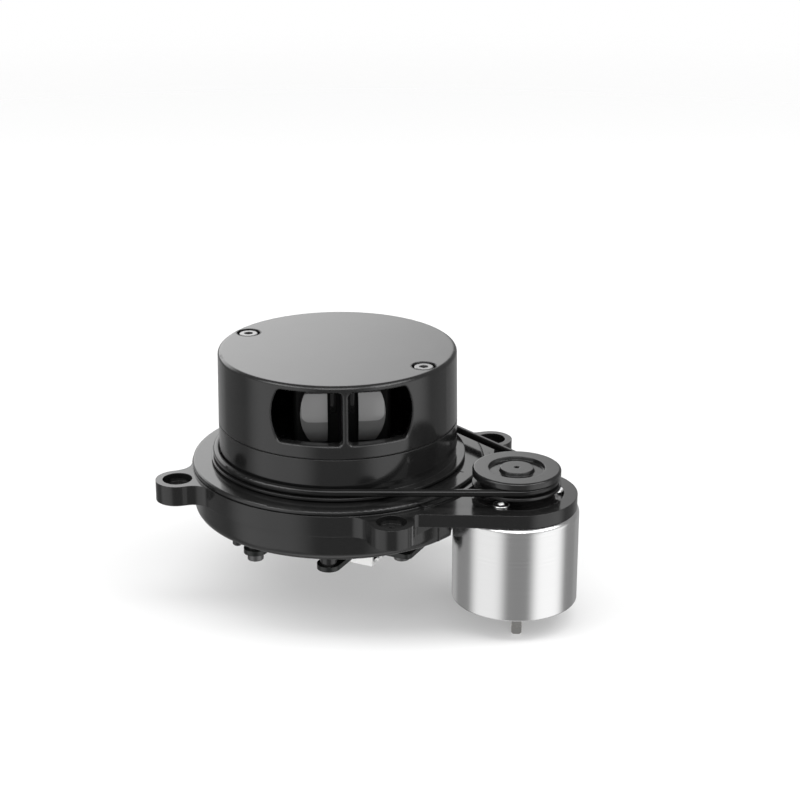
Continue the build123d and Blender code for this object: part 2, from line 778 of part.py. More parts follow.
# Sleeve bearings in the can's boss and in the end bell
with BuildPart() as motor_bushings:
    for bottom_z in (can_boss_top_z - bushing_length, can_bottom_z + 0.4):
        with BuildSketch(motor_level(bottom_z)):
            Circle(bushing_radius)
            Circle(shaft_radius + fit_gap, mode=Mode.SUBTRACT)
        extrude(amount=bushing_length)
motor_bushings.part.label = "motor_bushings"

# Terminals: flat tabs through the end bell, each with an eye near its tip
with BuildPart() as motor_terminals:
    with BuildSketch(motor_level(bell_top_z + 0.6)):
        with PolarLocations(terminal_radius, 2, start_angle=terminal_angle):
            Rectangle(terminal_thickness, terminal_width)
    extrude(amount=can_bottom_z - terminal_drop - bell_top_z - 0.6)
    tip_edges = motor_terminals.edges().group_by(Axis.Z)[0]
    chamfer(tip_edges.filter_by(lambda e: e.length < 1), 0.5)
motor_terminals.part.label = "motor_terminals"

# Brushes: leaf springs from the terminals to the commutator
with BuildPart() as motor_brushes:
    leaf_inner = commutator_radius + 0.1
    leaf_outer = terminal_radius - terminal_thickness / 2
    with BuildSketch(motor_level(bell_top_z + 0.1)):
        with PolarLocations((leaf_inner + leaf_outer) / 2, 2, start_angle=terminal_angle):
            Rectangle(leaf_outer - leaf_inner, terminal_width)
    extrude(amount=0.3)
    with BuildSketch(motor_level(bell_top_z + 0.4)):
        with PolarLocations(leaf_inner + 0.6, 2, start_angle=terminal_angle):
            Rectangle(1.2, terminal_width)
    extrude(amount=commutator_top_z - bell_top_z - 1.0)
motor_brushes.part.label = "motor_brushes"

# Motor shaft: from the end bell's bearing up into the pulley
with BuildPart() as motor_shaft:
    with BuildSketch(motor_level(can_bottom_z + 0.5)):
        Circle(shaft_radius)
    extrude(amount=shaft_top_z - can_bottom_z - 0.5)
    chamfer(motor_shaft.edges().filter_by(GeomType.CIRCLE), 0.15)
motor_shaft.part.label = "motor_shaft"

# Armature core: three mushroom poles
with BuildPart() as armature_core:
    with BuildSketch(motor_level(core_bottom_z)) as core_outline:
        Circle(core_radius)
        Circle(core_radius - pole_shoe, mode=Mode.SUBTRACT)
        with PolarLocations(core_radius, core_slot_count, start_angle=60):
            Rectangle(2 * pole_shoe + 1, core_slot_width, mode=Mode.SUBTRACT)
        with PolarLocations((core_radius - pole_shoe / 2) / 2, core_slot_count):
            Rectangle(core_radius - pole_shoe / 2, pole_width)
        Circle(shaft_radius + pole_hub)
        Circle(shaft_radius + fit_gap, mode=Mode.SUBTRACT)
    extrude(amount=core_length)
armature_core.part.label = "armature_core"

# Windings: a coil round each pole
with BuildPart() as armature_windings:
    winding_inner = shaft_radius + pole_hub + 1.3
    winding_outer = sqrt((core_radius - pole_shoe) ** 2 - (pole_width / 2 + coil_overhang) ** 2) - 0.2
    for turn in range(core_slot_count):
        pole_plane = Plane(origin=(motor_offset, 0, (core_top_z + core_bottom_z) / 2))
        pole_plane = pole_plane.rotated((0, 0, 360 * turn / core_slot_count))
        pole_plane = Plane(
            origin=pole_plane.origin + pole_plane.x_dir * winding_inner,
            x_dir=pole_plane.y_dir,
            z_dir=pole_plane.x_dir,
        )
        with BuildSketch(pole_plane) as coil_outline:
            RectangleRounded(
                pole_width + 2 * coil_overhang,
                core_length + 2 * coil_overhang,
                coil_overhang * 0.9,
            )
            Rectangle(pole_width + 2 * fit_gap, core_length + 2 * fit_gap, mode=Mode.SUBTRACT)
        extrude(amount=winding_outer - winding_inner)
armature_windings.part.label = "armature_windings"

# Commutator: a copper drum split in three
with BuildPart() as commutator:
    with BuildSketch(motor_level(commutator_bottom_z)):
        Circle(commutator_radius)
        with PolarLocations(commutator_radius, core_slot_count, start_angle=60):
            Rectangle(1.4, 0.4, mode=Mode.SUBTRACT)
        Circle(shaft_radius + fit_gap, mode=Mode.SUBTRACT)
    extrude(amount=commutator_top_z - commutator_bottom_z)
commutator.part.label = "commutator"

# Screws that hold the motor, their heads sunk in the arm's pocket
motor_screw = cap_screw(
    motor_screw_head,
    motor_screw_head_height,
    motor_screw_shank,
    motor_screw_length,
    motor_screw_head * 0.8,
    motor_screw_head_height * 0.5,
)
with BuildPart() as motor_screws:
    with Locations((motor_offset, 0, pocket_floor_z)):
        with PolarLocations(motor_screw_radius, motor_screw_count, start_angle=motor_screw_angle):
            add(motor_screw)
motor_screws.part.label = "motor_screws"

# Main board: a plate with two tongues, hung under the bowl
with BuildPart() as main_board:
    with BuildSketch(Plane.XY.offset(board_bottom_z)) as board_outline:
        RectangleRounded(2 * board_half_x, 2 * board_half_y, board_corner_radius)
        with Locations(*[(x, y / 2) for x, y in tongue_spots]):
            Rectangle(2 * tongue_radius, tongue_reach)
        with Locations(*tongue_spots):
            Circle(tongue_radius)
        fillet(
            board_outline.vertices().filter_by_position(
                Axis.Y, -board_half_y - 0.01, -board_half_y + 0.01
            ).filter_by_position(Axis.X, -tongue_x - tongue_radius - 0.1, tongue_x + tongue_radius + 0.1),
            1.2,
        )
        with Locations(*board_spots, *tongue_spots):
            Circle(board_screw_shank + fit_gap, mode=Mode.SUBTRACT)
        with GridLocations(board_half_x * 0.7, board_half_y * 1.1, 2, 2):
            Circle(0.6, mode=Mode.SUBTRACT)
    extrude(amount=board_thickness)
main_board.part.label = "main_board"

# Screws up through the board into the standoffs
board_screw = cap_screw(
    board_screw_head,
    board_screw_head_height,
    board_screw_shank,
    board_screw_length,
    board_screw_head * 0.8,
    board_screw_head_height * 0.5,
)
with BuildPart() as board_screws:
    screw_spots = [*board_spots, tongue_spots[0]]
    with Locations(*[Location((x, y, board_bottom_z), (180, 0, 0)) for x, y in screw_spots]):
        add(board_screw)
board_screws.part.label = "board_screws"

# Data connector: a side-entry shell under the board, its mouth towards +X
connector_back_x = connector_mouth_x - connector_depth
connector_floor_z = board_bottom_z - connector_height
connector_mid_z = board_bottom_z - connector_height / 2
with BuildPart() as data_connector:
    with Locations((connector_mouth_x, connector_y, connector_mid_z)):
        Box(
            connector_depth,
            connector_width,
            connector_height,
            align=(Align.MAX, Align.CENTER, Align.CENTER),
        )
    mouth_plane = Plane(
        origin=(connector_mouth_x, connector_y, connector_mid_z),
        x_dir=(0, 1, 0),
        z_dir=(1, 0, 0),
    )
    with BuildSketch(mouth_plane) as mouth_outline:
        Rectangle(connector_width - 2 * connector_wall, connector_height - 2 * connector_wall)
        with Locations((0, -connector_height / 2)):
            with GridLocations(connector_width - 2 * connector_key_inset, 0, 2, 1):
                Rectangle(connector_key_width, 3 * connector_wall)
    extrude(amount=connector_wall - connector_depth + 0.6, mode=Mode.SUBTRACT)
    with BuildSketch(mouth_plane) as pin_holes:
        with GridLocations(connector_pin_pitch, 0, connector_pin_count, 1):
            Rectangle(connector_pin_size + 2 * fit_gap, connector_pin_size + 2 * fit_gap)
    extrude(amount=-connector_depth, mode=Mode.SUBTRACT)
data_connector.part.label = "data_connector"

# Connector pins
with BuildPart() as connector_pins:
    with BuildSketch(mouth_plane.offset(-connector_depth - 0.6)):
        with GridLocations(connector_pin_pitch, 0, connector_pin_count, 1):
            Rectangle(connector_pin_size, connector_pin_size)
    extrude(amount=connector_depth - 0.6)
    with BuildSketch(mouth_plane.offset(-connector_depth - 0.6)):
        with Locations((0, (connector_height - connector_pin_size) / 4)):
            with GridLocations(connector_pin_pitch, 0, connector_pin_count, 1):
                Rectangle(connector_pin_size, (connector_height + connector_pin_size) / 2)
    extrude(amount=connector_pin_size - 1.2 + 0.5)
connector_pins.part.label = "connector_pins"

# Coil post: stands on the main board and reaches up the rotor's hollow hub
post_foot_z = board_top_z
coil_bottom_z = web_bottom_z - coil_height
with BuildPart() as coil_post:
    with BuildSketch(Plane.XZ) as coil_post_profile:
        with BuildLine():
            Polyline(
                (0, post_foot_z),
                (coil_post_radius + coil_post_flange, post_foot_z),
                (coil_post_radius + coil_post_flange, post_foot_z + coil_foot_thickness),
                (coil_post_radius, post_foot_z + coil_foot_thickness),
                (coil_post_radius, coil_bottom_z),
                (coil_post_radius - coil_thickness - 0.5, coil_bottom_z),
                (coil_post_radius - coil_thickness - 0.5, web_bottom_z),
                (coil_post_radius - coil_thickness - 1.5, web_bottom_z),
                (coil_post_radius - coil_thickness - 1.5, post_foot_z + coil_foot_thickness),
                (0, post_foot_z + coil_foot_thickness),
                close=True,
            )
        make_face()
    revolve(axis=Axis.Z)
coil_post.part.label = "coil_post"

# Power coils, one on the post and one under the rotor board
with BuildPart() as lower_coil:
    with BuildSketch(Plane.XY.offset(coil_bottom_z)):
        Circle(coil_post_radius)
        Circle(coil_post_radius - coil_thickness - 0.5 + fit_gap, mode=Mode.SUBTRACT)
    extrude(amount=coil_height)
lower_coil.part.label = "lower_coil"

upper_coil_z = web_bottom_z + coil_gap
with BuildPart() as upper_coil:
    with BuildSketch(Plane.XY.offset(upper_coil_z)) as upper_coil_outline:
        Circle(coil_post_radius)
        Circle(coil_post_radius - coil_thickness - 0.5, mode=Mode.SUBTRACT)
    extrude(amount=coil_height)
    with BuildSketch(Plane.XY.offset(upper_coil_z + coil_height)) as coil_flange:
        Circle(coil_post_radius + 0.6)
        Circle(coil_post_radius - coil_thickness - 1.2, mode=Mode.SUBTRACT)
    extrude(amount=rotor_board_z - upper_coil_z - coil_height)
upper_coil.part.label = "upper_coil"

# Speed sensor: a fork on the floor that straddles the encoder's teeth
fork_bottom_z = floor_top_z
fork_top_z = web_bottom_z - 1.0
tooth_inner = encoder_radius - encoder_thickness
with BuildPart() as speed_sensor:
    with Locations(Location((0, 0, 0), (0, 0, sensor_angle))):
        fork_radius = encoder_radius - encoder_thickness / 2
        with Locations((fork_radius, 0, fork_bottom_z)):
            Box(
                fork_length,
                fork_width,
                fork_top_z - fork_bottom_z,
                align=(Align.CENTER, Align.CENTER, Align.MIN),
            )
        with Locations((fork_radius, 0, web_bottom_z - encoder_height - run_gap)):
            Box(
                encoder_thickness + 2 * run_gap + 0.9,
                fork_width,
                encoder_height + run_gap,
                align=(Align.CENTER, Align.CENTER, Align.MIN),
                mode=Mode.SUBTRACT,
            )
speed_sensor.part.label = "speed_sensor"

# Rotor board: a disc notched round the posts
bench_foot_z = rotor_board_z + rotor_board_thickness
with BuildPart() as rotor_board:
    with BuildSketch(bench_level(rotor_board_z)) as rotor_board_outline:
        Circle(rotor_board_radius)
        with cover_screw_spots(-window_angle):
            Circle(post_radius + 0.4, mode=Mode.SUBTRACT)
        with GridLocations(2 * bench_screw_spread, 2 * bench_screw_spread, 2, 2):
            Circle(board_screw_shank + fit_gap, mode=Mode.SUBTRACT)
    extrude(amount=rotor_board_thickness)
rotor_board.part.label = "rotor_board"

# Optical bench: a black frame that holds both lenses, split down the middle against stray light
bench_top_z = head_top_z - head_top_thickness - bench_top_gap


def lens_outline(inset):
    """Both lenses' D outlines in the window plane, grown or shrunk by an inset."""
    centre = lens_outer - lens_arc_radius
    reach = lens_arc_radius - inset
    low, high = lens_mid_z - lens_half_height + inset, lens_mid_z + lens_half_height - inset
    near = lens_inner + inset
    far = centre + sqrt(reach**2 - (lens_half_height - inset) ** 2)
    with BuildSketch(mode=Mode.PRIVATE) as outline:
        for side in (-1, 1):
            with BuildLine():
                Polyline((side * far, low), (side * near, low), (side * near, high), (side * far, high))
                ThreePointArc((side * far, high), (side * (centre + reach), lens_mid_z), (side * far, low))
            make_face()
    return outline.sketch


with BuildPart() as optical_bench:
    with BuildSketch(bench_level(bench_foot_z)) as bench_foot:
        RectangleRounded(bench_length, bench_length, bench_corner_radius)
    extrude(amount=bench_foot_thickness)
    with BuildSketch(bench_level(bench_foot_z)) as bench_walls:
        with Locations(((bench_front_u + bench_rear_u) / 2, 0)):
            Rectangle(bench_front_u - bench_rear_u, 2 * bench_half_width)
            Rectangle(
                bench_front_u - bench_rear_u - 2 * bench_wall,
                2 * (bench_half_width - bench_wall),
                mode=Mode.SUBTRACT,
            )
    extrude(amount=bench_top_z - bench_foot_z)
    fillet(
        optical_bench.edges().filter_by(Axis.Z).filter_by(lambda e: e.length > lens_half_height).filter_by(
            lambda e: window_plane.to_local_coords(e.center()).Z > bench_front_u - 0.01
        ),
        1.2,
    )
    with BuildSketch(bench_level(bench_foot_z)) as bench_partition:
        partition_end = head_inner_radius - lip_thickness - run_gap
        with Locations(((partition_end + bench_rear_u) / 2, 0)):
            Rectangle(partition_end - bench_rear_u, window_divider)
    extrude(amount=bench_top_z - bench_foot_z)
    with BuildSketch(window_plane.offset(bench_front_u - bench_wall)) as lens_holes:
        add(lens_outline(lens_lip))
    extrude(amount=bench_wall, mode=Mode.SUBTRACT)
    with BuildSketch(window_plane.offset(bench_front_u - bench_wall / 2)) as lens_seats:
        add(lens_outline(-fit_gap))
    extrude(amount=bench_wall, mode=Mode.SUBTRACT)
    # Round seat for the laser on the left, square port for the sensor on the right
    with BuildSketch(window_plane.offset(bench_rear_u)) as rear_ports:
        with Locations((-optic_axis, lens_mid_z)):
            Circle(laser_barrel_radius + fit_gap)
        with Locations((optic_axis, lens_mid_z)):
            Rectangle(sensor_chip_size + 1, sensor_chip_size + 1)
    extrude(amount=bench_wall, mode=Mode.SUBTRACT)
    with BuildSketch(bench_level(bench_foot_z)) as bench_holes:
        with GridLocations(2 * bench_screw_spread, 2 * bench_screw_spread, 2, 2):
            Circle(board_screw_shank + fit_gap)
    extrude(amount=bench_foot_thickness, mode=Mode.SUBTRACT)
optical_bench.part.label = "optical_bench"


def dome_lens(side):
    """One lens: a D-shaped block whose front is a shallow dome, seated in the bench."""
    back_u = bench_front_u - bench_wall / 2
    with BuildPart(mode=Mode.PRIVATE) as lens:
        with BuildSketch(window_plane.offset(back_u)):
            add(lens_outline(0))
        extrude(amount=lens_edge + lens_rise)
        dome_centre = window_plane.from_local_coords(
            (side * (lens_inner + 1.5), lens_mid_z, back_u + lens_edge + lens_rise - lens_dome_radius)
        )
        with Locations(Location(dome_centre)):
            Sphere(lens_dome_radius, mode=Mode.INTERSECT)
    halves = lens.part.solids().sort_by(lambda s: side * window_plane.to_local_coords(s.center()).X)
    return halves[-1]


with BuildPart() as emitter_lens:
    add(dome_lens(-1))
emitter_lens.part.label = "emitter_lens"

with BuildPart() as receiver_lens:
    add(dome_lens(1))
receiver_lens.part.label = "receiver_lens"

# Laser module: a barrel with a flange behind the bench's rear wall
with BuildPart() as laser_module:
    with BuildSketch(window_plane.offset(bench_rear_u + bench_wall)):
        with Locations((-optic_axis, lens_mid_z)):
            Circle(laser_barrel_radius)
    extrude(amount=-laser_length)
    with BuildSketch(window_plane.offset(bench_rear_u)):
        with Locations((-optic_axis, lens_mid_z)):
            Circle(laser_barrel_radius + 1)
    extrude(amount=-1.2)
    with BuildSketch(window_plane.offset(bench_rear_u + bench_wall)):
        with Locations((-optic_axis, lens_mid_z)):
            Circle(laser_barrel_radius / 2)
    extrude(amount=-1.0, mode=Mode.SUBTRACT)
laser_module.part.label = "laser_module"

# Sensor board and its image sensor behind the right-hand lens
with BuildPart() as sensor_board:
    with BuildSketch(window_plane.offset(bench_rear_u)):
        with Locations((optic_axis, lens_mid_z)):
            Rectangle(sensor_board_width, sensor_board_height)
    extrude(amount=-sensor_board_thickness)
sensor_board.part.label = "sensor_board"

with BuildPart() as image_sensor:
    with BuildSketch(window_plane.offset(bench_rear_u)):
        with Locations((optic_axis, lens_mid_z)):
            Rectangle(sensor_chip_size, sensor_chip_size)
    extrude(amount=sensor_chip_thickness)
image_sensor.part.label = "image_sensor"

# Screws that clamp the bench and the rotor board to the rotor
bench_screw = cap_screw(
    board_screw_head,
    board_screw_head_height,
    board_screw_shank,
    bench_foot_thickness + rotor_board_thickness + rotor_board_z - web_top_z - 0.4,
    board_screw_head * 0.8,
    board_screw_head_height * 0.5,
)
with BuildPart() as bench_screws:
    with Locations(bench_level(bench_foot_z + bench_foot_thickness)):
        with GridLocations(2 * bench_screw_spread, 2 * bench_screw_spread, 2, 2):
            add(bench_screw)
bench_screws.part.label = "bench_screws"

# Retaining ring under the inner race
with BuildPart() as retaining_ring:
    with BuildSketch(Plane.XY.offset(bearing_z)):
        Circle(bearing_bore_radius + bearing_race)
        Circle(rotor_hub_bore_radius, mode=Mode.SUBTRACT)
    extrude(amount=-retaining_thickness)
retaining_ring.part.label = "retaining_ring"

parts = [
    base_housing,
    cover_ring,
    bearing_outer_race,
    bearing_inner_race,
    bearing_balls,
    retaining_ring,
    rotor_base,
    encoder_ring,
    head_cover,
    cover_screws,
    drive_belt,
    drive_pulley,
    motor_can,
    motor_magnets,
    end_bell,
    motor_bushings,
    motor_terminals,
    motor_brushes,
    motor_shaft,
    armature_core,
    armature_windings,
    commutator,
    motor_screws,
    main_board,
    board_screws,
    data_connector,
    connector_pins,
    coil_post,
    lower_coil,
    upper_coil,
    speed_sensor,
    rotor_board,
    optical_bench,
    emitter_lens,
    receiver_lens,
    laser_module,
    sensor_board,
    image_sensor,
    bench_screws,
]
os.makedirs("parts", exist_ok=True)
for piece in parts:
    export_step(piece.part, "parts/" + piece.part.label + ".step")
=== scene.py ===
from math import cos, pi, radians, sin

import bmesh
import bpy
from mathutils import Matrix, Vector


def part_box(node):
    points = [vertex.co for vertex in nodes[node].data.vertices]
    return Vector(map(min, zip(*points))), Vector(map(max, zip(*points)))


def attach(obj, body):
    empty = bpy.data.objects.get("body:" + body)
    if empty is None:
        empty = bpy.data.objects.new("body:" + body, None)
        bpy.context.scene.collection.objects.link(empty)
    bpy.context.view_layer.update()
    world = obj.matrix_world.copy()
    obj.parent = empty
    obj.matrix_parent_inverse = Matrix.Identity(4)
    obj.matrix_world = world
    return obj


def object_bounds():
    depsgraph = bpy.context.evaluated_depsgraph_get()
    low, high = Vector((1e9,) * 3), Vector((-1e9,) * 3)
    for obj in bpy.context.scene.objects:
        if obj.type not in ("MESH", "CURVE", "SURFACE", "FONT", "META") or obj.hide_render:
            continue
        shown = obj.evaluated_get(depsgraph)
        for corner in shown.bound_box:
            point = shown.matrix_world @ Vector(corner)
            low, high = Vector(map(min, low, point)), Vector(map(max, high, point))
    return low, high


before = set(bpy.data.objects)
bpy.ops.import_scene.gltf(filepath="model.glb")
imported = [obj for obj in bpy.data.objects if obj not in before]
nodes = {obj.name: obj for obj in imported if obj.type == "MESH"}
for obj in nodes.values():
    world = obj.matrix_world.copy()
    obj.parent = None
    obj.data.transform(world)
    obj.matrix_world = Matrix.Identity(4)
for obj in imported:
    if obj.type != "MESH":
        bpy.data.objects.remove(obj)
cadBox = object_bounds()
mm = 0.001
print("frame loaded,", len(nodes), "nodes")

# The camera stands where the photograph was taken from
camera = {
    "place": (187.48 * mm, -351.74 * mm, 166.63 * mm),
    "azimuth": 26.06,      # degrees to the right of the front
    "pitch": 18.59,        # degrees down
    "lens": 80.685,
    "sensor": 36.0,
    "shift": (0.0041, -0.0655),
}
cameraData = bpy.data.cameras.new("photoCamera")
cameraData.lens = camera["lens"]
cameraData.sensor_width = camera["sensor"]
cameraData.shift_x, cameraData.shift_y = camera["shift"]
cameraData.clip_start = 0.01
photoCamera = bpy.data.objects.new("photoCamera", cameraData)
photoCamera.location = camera["place"]
photoCamera.rotation_euler = (radians(90 - camera["pitch"]), 0, radians(camera["azimuth"]))
bpy.context.scene.collection.objects.link(photoCamera)
bpy.context.scene.camera = photoCamera
bpy.context.scene.view_settings.view_transform = "Standard"
print("camera ready")


# Node helpers
def addNode(tree, kind, **settings):
    node = tree.nodes.new(kind)
    for name, value in settings.items():
        setattr(node, name, value)
    return node


def setInputs(node, **values):
    for name, value in values.items():
        node.inputs[name.replace("_", " ")].default_value = value
    return node


def mathNode(tree, operation, first, second=None, third=None, clamp=False):
    node = addNode(tree, "ShaderNodeMath", operation=operation, use_clamp=clamp)
    for slot, value in enumerate((first, second, third)):
        if value is None:
            continue
        if isinstance(value, (int, float)):
            node.inputs[slot].default_value = value
        else:
            tree.links.new(value, node.inputs[slot])
    return node.outputs[0]


def mixColour(tree, factor, first, second):
    node = addNode(tree, "ShaderNodeMix", data_type="RGBA")
    for slot, value in ((0, factor), (6, first), (7, second)):
        if hasattr(value, "is_linked"):
            tree.links.new(value, node.inputs[slot])
        elif slot:
            node.inputs[slot].default_value = (*value, 1)
        else:
            node.inputs[slot].default_value = value
    return node.outputs[2]


def startGroup(name, inputs, outputs):
    group = bpy.data.node_groups.new(name, "ShaderNodeTree")
    for label, kind, value in inputs:
        socket = group.interface.new_socket(label, in_out="INPUT", socket_type=kind)
        if value is not None:
            socket.default_value = value
    for label, kind in outputs:
        group.interface.new_socket(label, in_out="OUTPUT", socket_type=kind)
    return group, addNode(group, "NodeGroupInput"), addNode(group, "NodeGroupOutput")


floatSocket, vectorSocket = "NodeSocketFloat", "NodeSocketVector"


# Moulded or blasted skin: a fine pebble with broader, fainter waves
def makeSkinGrain():
    group, inside, outside = startGroup(
        "skinGrain",
        [("Vector", vectorSocket, None), ("Pebbles", floatSocket, 3000.0)],
        [("Height", floatSocket), ("Tone", floatSocket)],
    )
    pebble = setInputs(addNode(group, "ShaderNodeTexNoise"), Detail=2.0, Roughness=0.6)
    wave = setInputs(addNode(group, "ShaderNodeTexNoise"), Scale=140.0, Detail=3.0, Roughness=0.5)
    for texture in (pebble, wave):
        group.links.new(inside.outputs["Vector"], texture.inputs["Vector"])
    group.links.new(inside.outputs["Pebbles"], pebble.inputs["Scale"])
    height = mathNode(group, "MULTIPLY_ADD", wave.outputs["Fac"], 0.35, pebble.outputs["Fac"])
    group.links.new(height, outside.inputs["Height"])
    group.links.new(wave.outputs["Fac"], outside.inputs["Tone"])
    return group


# Tool marks that run round an upright axis, as turning and drawing leave them
def makeTurnedMarks():
    group, inside, outside = startGroup(
        "turnedMarks",
        [
            ("Vector", vectorSocket, None),
            ("Centre X", floatSocket, 0.0),
            ("Centre Y", floatSocket, 0.0),
            ("Rings", floatSocket, 4000.0),
        ],
        [("Height", floatSocket), ("Tone", floatSocket)],
    )
    parts = addNode(group, "ShaderNodeSeparateXYZ")
    group.links.new(inside.outputs["Vector"], parts.inputs[0])
    across = mathNode(group, "SUBTRACT", parts.outputs[0], inside.outputs["Centre X"])
    along = mathNode(group, "SUBTRACT", parts.outputs[1], inside.outputs["Centre Y"])
    squares = mathNode(group, "MULTIPLY_ADD", across, across, mathNode(group, "MULTIPLY", along, along))
    reach = mathNode(group, "SQRT", squares)
    place = mathNode(group, "ADD", parts.outputs[2], reach)
    rings = setInputs(addNode(group, "ShaderNodeTexNoise", noise_dimensions="1D"), Detail=3.0, Roughness=0.7)
    group.links.new(place, rings.inputs["W"])
    group.links.new(inside.outputs["Rings"], rings.inputs["Scale"])
    broad = setInputs(addNode(group, "ShaderNodeTexNoise", noise_dimensions="1D"), Detail=1.0)
    group.links.new(place, broad.inputs["W"])
    group.links.new(mathNode(group, "MULTIPLY", inside.outputs["Rings"], 0.12), broad.inputs["Scale"])
    group.links.new(rings.outputs["Fac"], outside.inputs["Height"])
    group.links.new(broad.outputs["Fac"], outside.inputs["Tone"])
    return group


# Rounded edges for the light, and a mask of where hands and tools rub them
def makeEdgeWear():
    group, inside, outside = startGroup(
        "edgeWear",
        [("Vector", vectorSocket, None), ("Radius", floatSocket, 0.00015), ("Breakup", floatSocket, 900.0)],
        [("Mask", floatSocket), ("Normal", vectorSocket)],
    )
    rounded = addNode(group, "ShaderNodeBevel", samples=6)
    group.links.new(inside.outputs["Radius"], rounded.inputs["Radius"])
    surface = addNode(group, "ShaderNodeNewGeometry")
    likeness = addNode(group, "ShaderNodeVectorMath", operation="DOT_PRODUCT")
    group.links.new(rounded.outputs[0], likeness.inputs[0])
    group.links.new(surface.outputs["Normal"], likeness.inputs[1])
    edge = addNode(group, "ShaderNodeMapRange", interpolation_type="SMOOTHSTEP")
    setInputs(edge, From_Min=0.995, From_Max=0.85)
    group.links.new(likeness.outputs["Value"], edge.inputs["Value"])
    patch = setInputs(addNode(group, "ShaderNodeTexNoise"), Detail=4.0, Roughness=0.65)
    group.links.new(inside.outputs["Vector"], patch.inputs["Vector"])
    group.links.new(inside.outputs["Breakup"], patch.inputs["Scale"])
    broken = setInputs(addNode(group, "ShaderNodeMapRange"), From_Min=0.35, From_Max=0.6)
    group.links.new(patch.outputs["Fac"], broken.inputs["Value"])
    mask = mathNode(group, "MULTIPLY", edge.outputs["Result"], broken.outputs["Result"])
    group.links.new(mask, outside.inputs["Mask"])
    group.links.new(rounded.outputs[0], outside.inputs["Normal"])
    return group


# A trace of dust that settles on what faces up
def makeDust():
    group, inside, outside = startGroup(
        "dust",
        [("Vector", vectorSocket, None), ("Amount", floatSocket, 0.1)],
        [("Mask", floatSocket)],
    )
    surface = addNode(group, "ShaderNodeNewGeometry")
    upward = addNode(group, "ShaderNodeSeparateXYZ")
    group.links.new(surface.outputs["Normal"], upward.inputs[0])
    settled = setInputs(addNode(group, "ShaderNodeMapRange"), From_Min=0.5, From_Max=1.0)
    group.links.new(upward.outputs[2], settled.inputs["Value"])
    cloud = setInputs(addNode(group, "ShaderNodeTexNoise"), Scale=160.0, Detail=6.0, Roughness=0.75)
    group.links.new(inside.outputs["Vector"], cloud.inputs["Vector"])
    speck = setInputs(addNode(group, "ShaderNodeMapRange"), From_Min=0.5, From_Max=0.8)
    group.links.new(cloud.outputs["Fac"], speck.inputs["Value"])
    dusty = mathNode(group, "MULTIPLY", settled.outputs["Result"], speck.outputs["Result"])
    group.links.new(mathNode(group, "MULTIPLY", dusty, inside.outputs["Amount"]), outside.inputs["Mask"])
    return group


# Painted shade inside an upright hollow: a mask of what lies within its radius and below its roof
def makeHollowShade():
    group, inside, outside = startGroup(
        "hollow",
        [("Vector", vectorSocket, None), ("Radius", floatSocket, 0.026), ("Roof", floatSocket, 0.03)],
        [("Mask", floatSocket)],
    )
    parts = addNode(group, "ShaderNodeSeparateXYZ")
    group.links.new(inside.outputs["Vector"], parts.inputs[0])
    squares = mathNode(group, "MULTIPLY", parts.outputs[1], parts.outputs[1])
    squares = mathNode(group, "MULTIPLY_ADD", parts.outputs[0], parts.outputs[0], squares)
    within = mathNode(group, "LESS_THAN", mathNode(group, "SQRT", squares), inside.outputs["Radius"])
    under = mathNode(group, "LESS_THAN", parts.outputs[2], inside.outputs["Roof"])
    group.links.new(mathNode(group, "MULTIPLY", within, under), outside.inputs["Mask"])
    return group


# Painted shade: the dark line of a level joint between two mouldings, standing for the shadow in the gap
def makeJointShade():
    group, inside, outside = startGroup(
        "jointShade",
        [("Vector", vectorSocket, None), ("Level", floatSocket, 0.0), ("Half Width", floatSocket, 0.00015)],
        [("Mask", floatSocket)],
    )
    parts = addNode(group, "ShaderNodeSeparateXYZ")
    group.links.new(inside.outputs["Vector"], parts.inputs[0])
    offset = mathNode(group, "ABSOLUTE", mathNode(group, "SUBTRACT", parts.outputs[2], inside.outputs["Level"]))
    line = mathNode(group, "DIVIDE", offset, inside.outputs["Half Width"])
    fade = addNode(group, "ShaderNodeMapRange", interpolation_type="SMOOTHSTEP")
    setInputs(fade, From_Min=1.3, From_Max=0.7)
    group.links.new(line, fade.inputs["Value"])
    group.links.new(fade.outputs["Result"], outside.inputs["Mask"])
    return group
